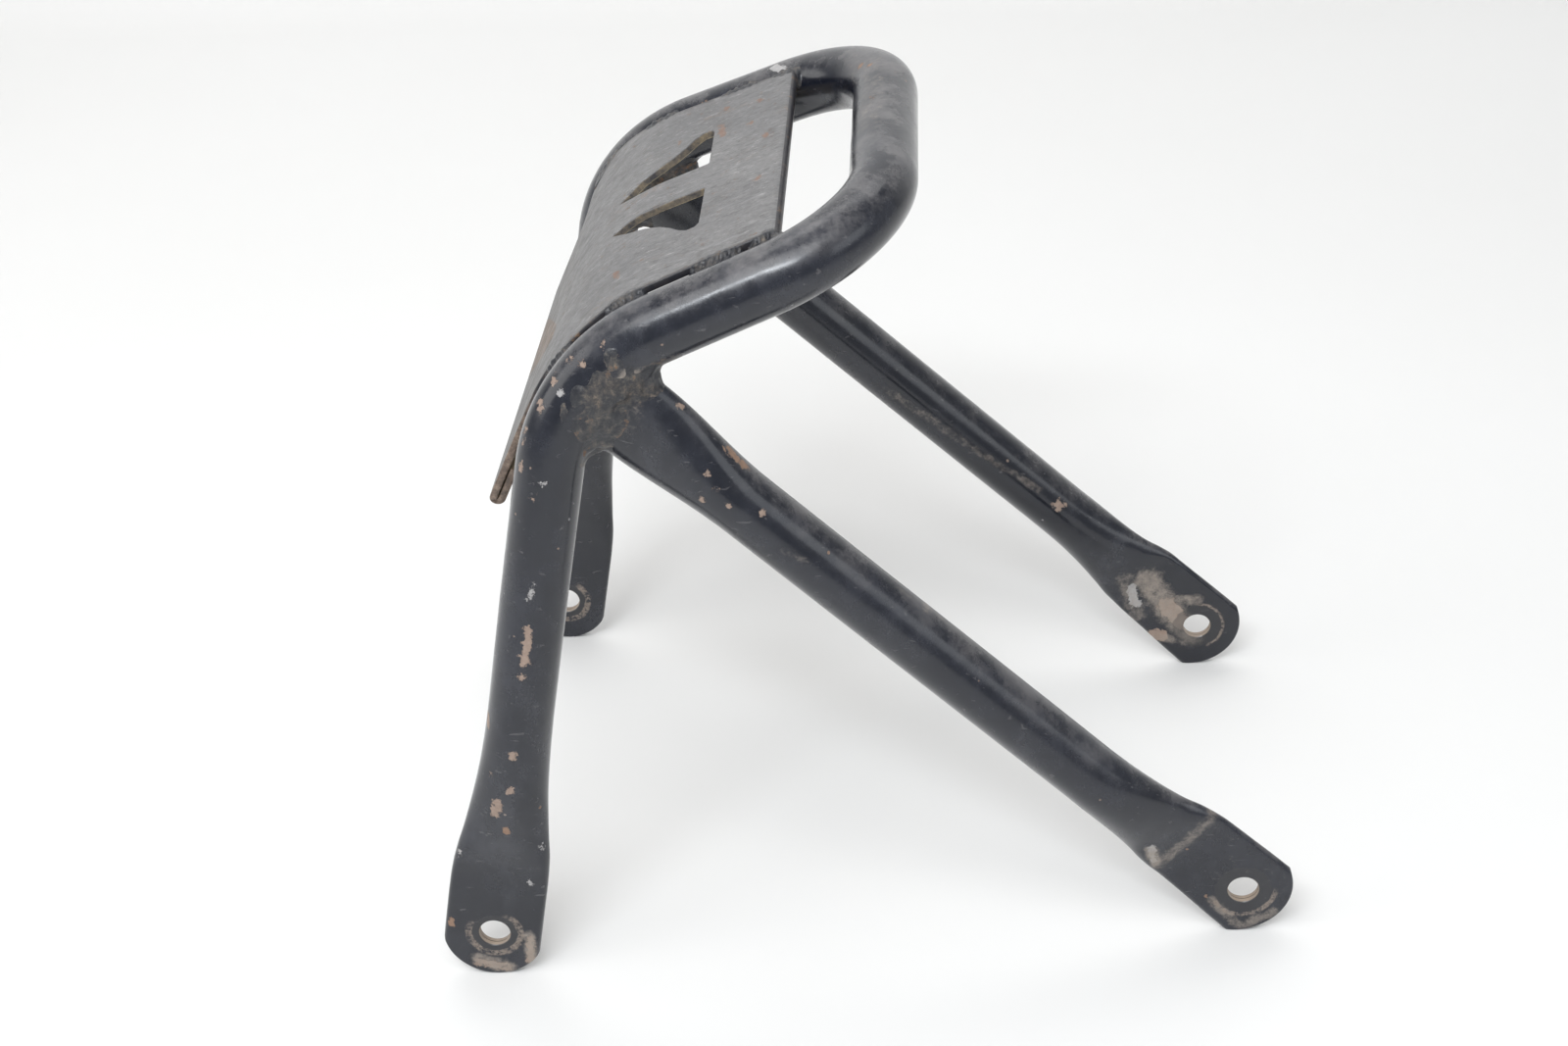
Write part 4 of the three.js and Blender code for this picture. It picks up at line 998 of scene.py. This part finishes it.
CHIPS = [((-105.5, -104.0, 164.5), (-105.5, -104.1, 163.9), 0.95, 0.8), ((-106.5, -104.7, 159.7), (-106.5, -104.8, 159.0), 0.83, 0.8),
         ((-108.0, -106.3, 148.1), (-110.2, -107.9, 136.5), 1.34, 0.1), ((-111.3, -108.6, 131.1), (-111.3, -108.7, 130.7), 0.97, 0.1),
         ((-125.4, -103.6, 112.0), (-125.4, -105.7, 108.6), 0.99, 0.1), ((-116.9, -112.2, 102.4), (-117.0, -112.3, 100.9), 0.99, 0.1),
         ((-126.0, -111.0, 92.6), (-126.0, -111.1, 92.2), 0.8, 0.1), ((-119.3, -112.7, 87.2), (-119.4, -112.7, 86.8), 1.0, 0.1),
         ((-124.3, -112.4, 81.1), (-125.3, -111.9, 76.1), 1.54, 0.1), ((-122.8, -111.1, 69.0), (-122.9, -110.9, 68.0), 1.08, 0.45),
         ((-141.0, -107.6, 55.8), (-141.1, -107.6, 55.0), 0.83, 0.8), ((-110.9, -108.5, 58.7), (-111.0, -108.5, 58.2), 0.89, 0.8),
         ((-117.4, -107.2, 42.3), (-117.5, -107.2, 41.8), 0.83, 0.8), ((-146.9, -107.0, 25.1), (-147.1, -107.0, 23.3), 1.06, 0.45),
         ((-139.7, -107.0, 5.4), (-129.3, -107.0, 3.1), 1.65, 0.1), ((-119.9, -107.0, 16.5), (-121.0, -107.0, 5.9), 1.27, 0.1),
         ((98.8, -87.7, 39.9), (100.2, -86.1, 33.7), 1.4, 0.8), ((119.3, 80.8, 29.0), (126.0, 80.8, 21.1), 3.67, 0.1),
         ((114.3, 81.0, 14.2), (117.5, 80.8, 14.3), 2.88, 0.1), ((104.9, 80.4, 38.1), (106.4, 80.8, 30.5), 2.02, 0.8),
         ((73.9, 76.2, 82.4), (73.9, 75.3, 79.7), 1.18, 0.1), ((72.3, 75.3, 81.6), (75.9, 76.4, 80.9), 0.94, 0.1),
         ((-78.1, -89.9, 243.4), (-78.1, -90.1, 243.2), 0.91, 0.1), ((-74.1, -92.4, 240.9), (-73.8, -92.5, 240.6), 0.85, 0.1),
         ((-75.2, -93.1, 238.2), (-75.2, -93.2, 237.9), 0.79, 0.1), ((-84.5, -91.5, 237.5), (-84.5, -91.7, 237.3), 0.92, 0.1),
         ((-92.2, -93.1, 228.8), (-92.2, -93.4, 228.3), 0.98, 0.8), ((-93.9, -88.9, 231.8), (-93.9, -90.5, 230.5), 1.05, 0.1),
         ((-98.7, -91.3, 223.7), (-99.0, -92.1, 222.4), 1.42, 0.1), ((-104.6, -90.8, 214.3), (-104.6, -91.0, 214.1), 0.81, 0.1),
         ((-105.0, -92.1, 211.5), (-105.4, -92.2, 210.5), 0.93, 0.1), ((-106.8, -94.4, 203.2), (-106.8, -94.8, 202.3), 0.94, 0.1),
         ((-99.4, -99.2, 199.1), (-99.4, -99.3, 198.8), 0.75, 0.8), ((-102.6, -99.5, 194.3), (-102.6, -99.6, 194.0), 0.75, 0.1),
         ((-88.9, -88.0, 237.4), (-88.9, -88.6, 237.0), 0.86, 0.1), ((-47.8, -92.3, 197.9), (-47.5, -92.4, 197.6), 0.93, 0.1),
         ((-45.5, -93.4, 192.7), (-45.2, -93.5, 192.4), 0.81, 0.1), ((-41.7, -94.2, 186.9), (-41.4, -94.2, 186.6), 0.87, 0.1),
         ((-50.4, -93.1, 188.6), (-50.1, -93.1, 188.2), 0.81, 0.1), ((-30.9, -92.6, 183.3), (-30.6, -92.7, 182.9), 0.82, 0.1),
         ((-55.5, -85.2, 218.6), (-55.2, -85.2, 218.3), 0.87, 0.1), ((-69.5, -86.1, 212.2), (-69.2, -86.1, 211.9), 0.87, 0.1),
         ((-70.8, -86.4, 207.0), (-70.5, -86.5, 206.0), 1.37, 0.1), ((-42.4, -84.4, 202.2), (-36.5, -84.5, 195.7), 1.41, 0.45),
         ((-31.7, 76.2, 267.8), (-27.4, 68.6, 269.9), 1.8, 0.8), ((3.7, 39.3, 282.1), (3.7, 39.3, 282.1), 1.03, 0.45),
         ((4.8, 8.1, 282.6), (4.8, 8.1, 282.6), 1.13, 0.45), ((-35.4, 50.2, 266.0), (-35.3, 48.3, 266.0), 0.84, 0.45),
         ((-48.1, 55.4, 260.9), (-47.6, 54.0, 261.0), 0.85, 0.45), ((-57.1, 74.3, 256.0), (-56.3, 70.4, 257.5), 0.79, 0.45),
         ((-31.8, 15.1, 267.4), (-31.7, 13.4, 267.5), 0.88, 0.45), ((-38.2, 31.9, 264.9), (-37.8, 30.6, 265.0), 0.76, 0.45),
         ((-32.6, -19.8, 267.1), (-32.5, -21.5, 267.2), 0.78, 0.45), ((-49.2, 40.5, 260.4), (-47.5, 30.1, 261.1), 0.83, 0.45),
         ((-63.7, 40.3, 254.5), (-63.2, 39.0, 254.7), 0.77, 0.45), ((-78.0, -47.8, 247.2), (-76.7, -53.0, 248.0), 0.7, 0.45)]


def wear(ob):
    p = coords(ob)
    sd = np.full(len(p), 50.0)
    tone = np.zeros(len(p))
    for a, b, r, t in CHIPS:
        a, b = np.array(a, float), np.array(b, float)
        ab = b - a
        k = np.clip(((p - a) @ ab) / max(ab @ ab, 1e-9), 0, 1)[:, None]
        d = np.linalg.norm(p - (a + ab * k), axis=1) - r
        m = d < sd
        sd[m] = d[m]
        tone[m] = t
    rub = np.zeros(len(p))
    for a, b, r, t in RUBS:
        a, b = np.array(a, float), np.array(b, float)
        ab = b - a
        k = np.clip(((p - a) @ ab) / max(ab @ ab, 1e-9), 0, 1)[:, None]
        d = np.linalg.norm(p - (a + ab * k), axis=1)
        rub = np.maximum(rub, t * np.clip(1.5 - 0.75 * d / r, 0, 1))
    attribute(ob, "rub", rub)
    attribute(ob, "chip", sd)
    attribute(ob, "tone", tone)
    # grime gathers at the strut welds
    g = np.zeros(len(p))
    for side in (-1, 1):
        for f in np.radians(np.linspace(112, 162, 14)):
            c = np.array((BEND_C[0] + 51.5 * math.cos(f) + SHIFT, side * 88.5, BEND_C[1] + 51.5 * math.sin(f) + LIFT))
            g = np.maximum(g, 1 - np.linalg.norm(p - c, axis=1) / 11.0)
    attribute(ob, "grime", np.clip(g, 0, 1))


for ob in (hoop, left_strut, right_strut, deck):
    wear(ob)

m_hoop = tube_paint("paint_black_front", leg_x(HOLE_Z), 8.0, 10.4, (0.3, -1.0, -6.0))
m_near = tube_paint("paint_black_rear_left", REAR_HOLE_X, 10.2, 12.0, (0.15, -1.0, 3.0))
m_far = tube_paint("paint_black_rear_right", REAR_HOLE_X, 10.0, 11.2, (1.0, 0.2, 3.0))
m_deck = deck_paint()
m_weld = weld_paint("weld_dirty", 0.10)
m_bead = weld_paint("weld_black", 0.0)
for ob in fills:
    ob.data.materials.clear()
    ob.data.materials.append(m_weld if ob.name.startswith("strut") else m_bead)
for ob, m in ((hoop, m_hoop), (left_strut, m_near), (right_strut, m_far), (deck, m_deck)):
    ob.data.materials.clear()
    ob.data.materials.append(m)

# deck attributes: cut walls, outer rim, and a soft border along the sides
pos = coords(deck)
rail_half = np.array([rail_y(v) - RAIL_OFFSET if v > 56 else mix(DECK_HALF, rail_y(v) - RAIL_OFFSET, smooth((v - 42) / 14)) for v in pos[:, 0] - SHIFT])
outer = np.clip((np.abs(pos[:, 1]) - rail_half + 1.6) / 1.2, 0, 1)
rear = np.clip((pos[:, 0] - SHIFT - (DECK_REAR[0] - 1.6)) / 1.0, 0, 1)
xs, zs = pos[:, 0] - SHIFT, pos[:, 2] - LIFT
skin = np.array([deck_point(v, 0) for v in np.linspace(SUM[0] + L1 * 0.5, SUM[4] + L1 * 0.5, 420)])
z_twist = float(deck_point(SUM[3] - L3 * 0.55, 0)[1])
z_full = float(deck_point(max(SUM[3] - L3 * 0.55 - 40.0, 0), 0)[1])
kt = np.clip((z_twist - zs) / max(z_twist - z_full, 1e-6), 0, 1)
kt = kt * kt * (3 - 2 * kt)
flatxz = np.column_stack([xs - kt * (0.8 + 1.7 * pos[:, 1] / 75.0), zs])
depth = np.full(len(pos), 1e9)
for a, b in zip(skin, skin[1:]):
    ab = b - a
    t = np.clip((flatxz - a) @ ab / max(ab @ ab, 1e-9), 0, 1)
    depth = np.minimum(depth, np.linalg.norm(flatxz - a - t[:, None] * ab, axis=1))
attribute(deck, "depth", depth)
# rusty hollow low on the front slope
eye = np.array((153.52 + SHIFT, -749.61, 589.71))
cy_, sy_, cp_, sp_, cr_, sr_ = (f(math.radians(v)) for v in (3.98, 31.93, -2.7) for f in (math.cos, math.sin))
ahead = np.array((-sy_ * cp_, cy_ * cp_, -sp_))
side0, up0 = np.array((cy_, sy_, 0.0)), np.array((-sy_ * sp_, cy_ * sp_, cp_))
side1, up1 = cr_ * side0 + sr_ * up0, -sr_ * side0 + cr_ * up0
rel = pos - eye
px = (rel @ side1) / (rel @ ahead) * 2470.13
py = (rel @ up1) / (rel @ ahead) * -2470.13
reach = np.interp(py, [-211.5, -208.5, -202.7, -188.5, -180.5, -173.5, -161.5, -150.5, -133.5, -118.5, -100],
                  [-246, -239, -231.7, -236.5, -241, -245, -252, -260, -267, -273, -282])
lip = np.minimum((reach - px) / 3.0, (py + 209) / 3.0)
attribute(deck, "lip", np.where((xs < 45) & (py < -90), np.clip(0.5 + lip * 0.5, 0, 1), 0))
attribute(deck, "rim", np.maximum(outer, rear))
attribute(deck, "border", np.clip(1 - (rail_half - np.abs(pos[:, 1])) / 5.5, 0, 1))

# -------------------------------------------------------- floor, light, view
floor_mat = Graph("floor_pale")
fn = floor_mat.noise(3.0, 4, 0.5)
floor_mat.link(floor_mat.mix(fn, (0.80, 0.79, 0.77), (0.84, 0.83, 0.815)), floor_mat.b.inputs["Base Color"])
floor_mat.b.inputs["Roughness"].default_value = 0.6

prof = [(-1.6, 0.0), (0.85, 0.0)]
for k in range(1, 13):
    f = math.pi / 2 * k / 12
    prof.append((0.85 + 0.12 * math.sin(f), 0.12 - 0.12 * math.cos(f)))
prof.append((0.97, 2.6))
verts, faces = [], []
for y, z in prof:
    verts += [(-3000.0, y * 1000, z * 1000), (3000.0, y * 1000, z * 1000)]
for i in range(len(prof) - 1):
    faces.append((2 * i, 2 * i + 1, 2 * i + 3, 2 * i + 2))
floor = mesh_object("floor", verts, faces)
for p in floor.data.polygons:
    p.use_smooth = True
bm = bmesh.new(); bm.from_mesh(floor.data)
if sum(f.normal.z for f in bm.faces) < 0:
    bmesh.ops.reverse_faces(bm, faces=bm.faces)
bm.to_mesh(floor.data); bm.free()
floor.data.materials.append(floor_mat.m)

world = bpy.data.worlds.new("studio")
bpy.context.scene.world = world
world.use_nodes = True
bg = world.node_tree.nodes["Background"]
bg.inputs[0].default_value = (0.93, 0.96, 1.0, 1.0)
bg.inputs[1].default_value = 0.42


def area(name, loc, target, size, power, colour=(1, 1, 1)):
    l = bpy.data.lights.new(name, "AREA")
    l.shape = "RECTANGLE"
    l.size, l.size_y = size
    l.energy = power
    l.color = colour
    o = bpy.data.objects.new(name, l)
    o.location = loc
    o.rotation_euler = (Vector(target) - Vector(loc)).to_track_quat("-Z", "Y").to_euler()
    bpy.context.scene.collection.objects.link(o)
    return o


area("overhead", (-0.35, -0.75, 1.55), (0, 0, 0.1), (1.5, 0.8), 13, (1.0, 1.0, 1.0))
area("key", (-0.30, -1.15, 1.45), (0, 0, 0.2), (0.95, 0.16), 13, (0.90, 0.95, 1.0))
area("left_box", (-1.7, -0.25, 0.85), (0, 0, 0.12), (1.1, 0.9), 5.5, (1.0, 0.99, 0.97))
area("right_box", (1.5, -0.9, 0.9), (0, 0, 0.12), (1.0, 0.7), 3, (0.92, 0.96, 1.0))
area("back", (0.0, 0.65, 1.6), (0, 0.3, 0.1), (1.8, 0.5), 5, (1, 1, 1))

yaw, pitch, roll = math.radians(3.98), math.radians(31.93), math.radians(-2.7)
fh = Vector((-math.sin(yaw), math.cos(yaw), 0)); rt = Vector((math.cos(yaw), math.sin(yaw), 0)); upv = Vector((0, 0, 1))
fwd = math.cos(pitch) * fh - math.sin(pitch) * upv
upc = math.cos(pitch) * upv + math.sin(pitch) * fh
r2 = math.cos(roll) * rt + math.sin(roll) * upc
u2 = -math.sin(roll) * rt + math.cos(roll) * upc
cam = bpy.data.cameras.new("camera")
cam.sensor_width = 36.0
cam.lens = 2470.13 / 1600 * 36.0
cam.clip_start = 0.01
co = bpy.data.objects.new("camera", cam)
co.matrix_world = Matrix(((r2.x, u2.x, -fwd.x, (153.52 + SHIFT) * MM), (r2.y, u2.y, -fwd.y, -0.74961),
                          (r2.z, u2.z, -fwd.z, 0.58971), (0, 0, 0, 1)))
bpy.context.scene.collection.objects.link(co)
bpy.context.scene.camera = co
bpy.context.scene.view_settings.view_transform = "Standard"
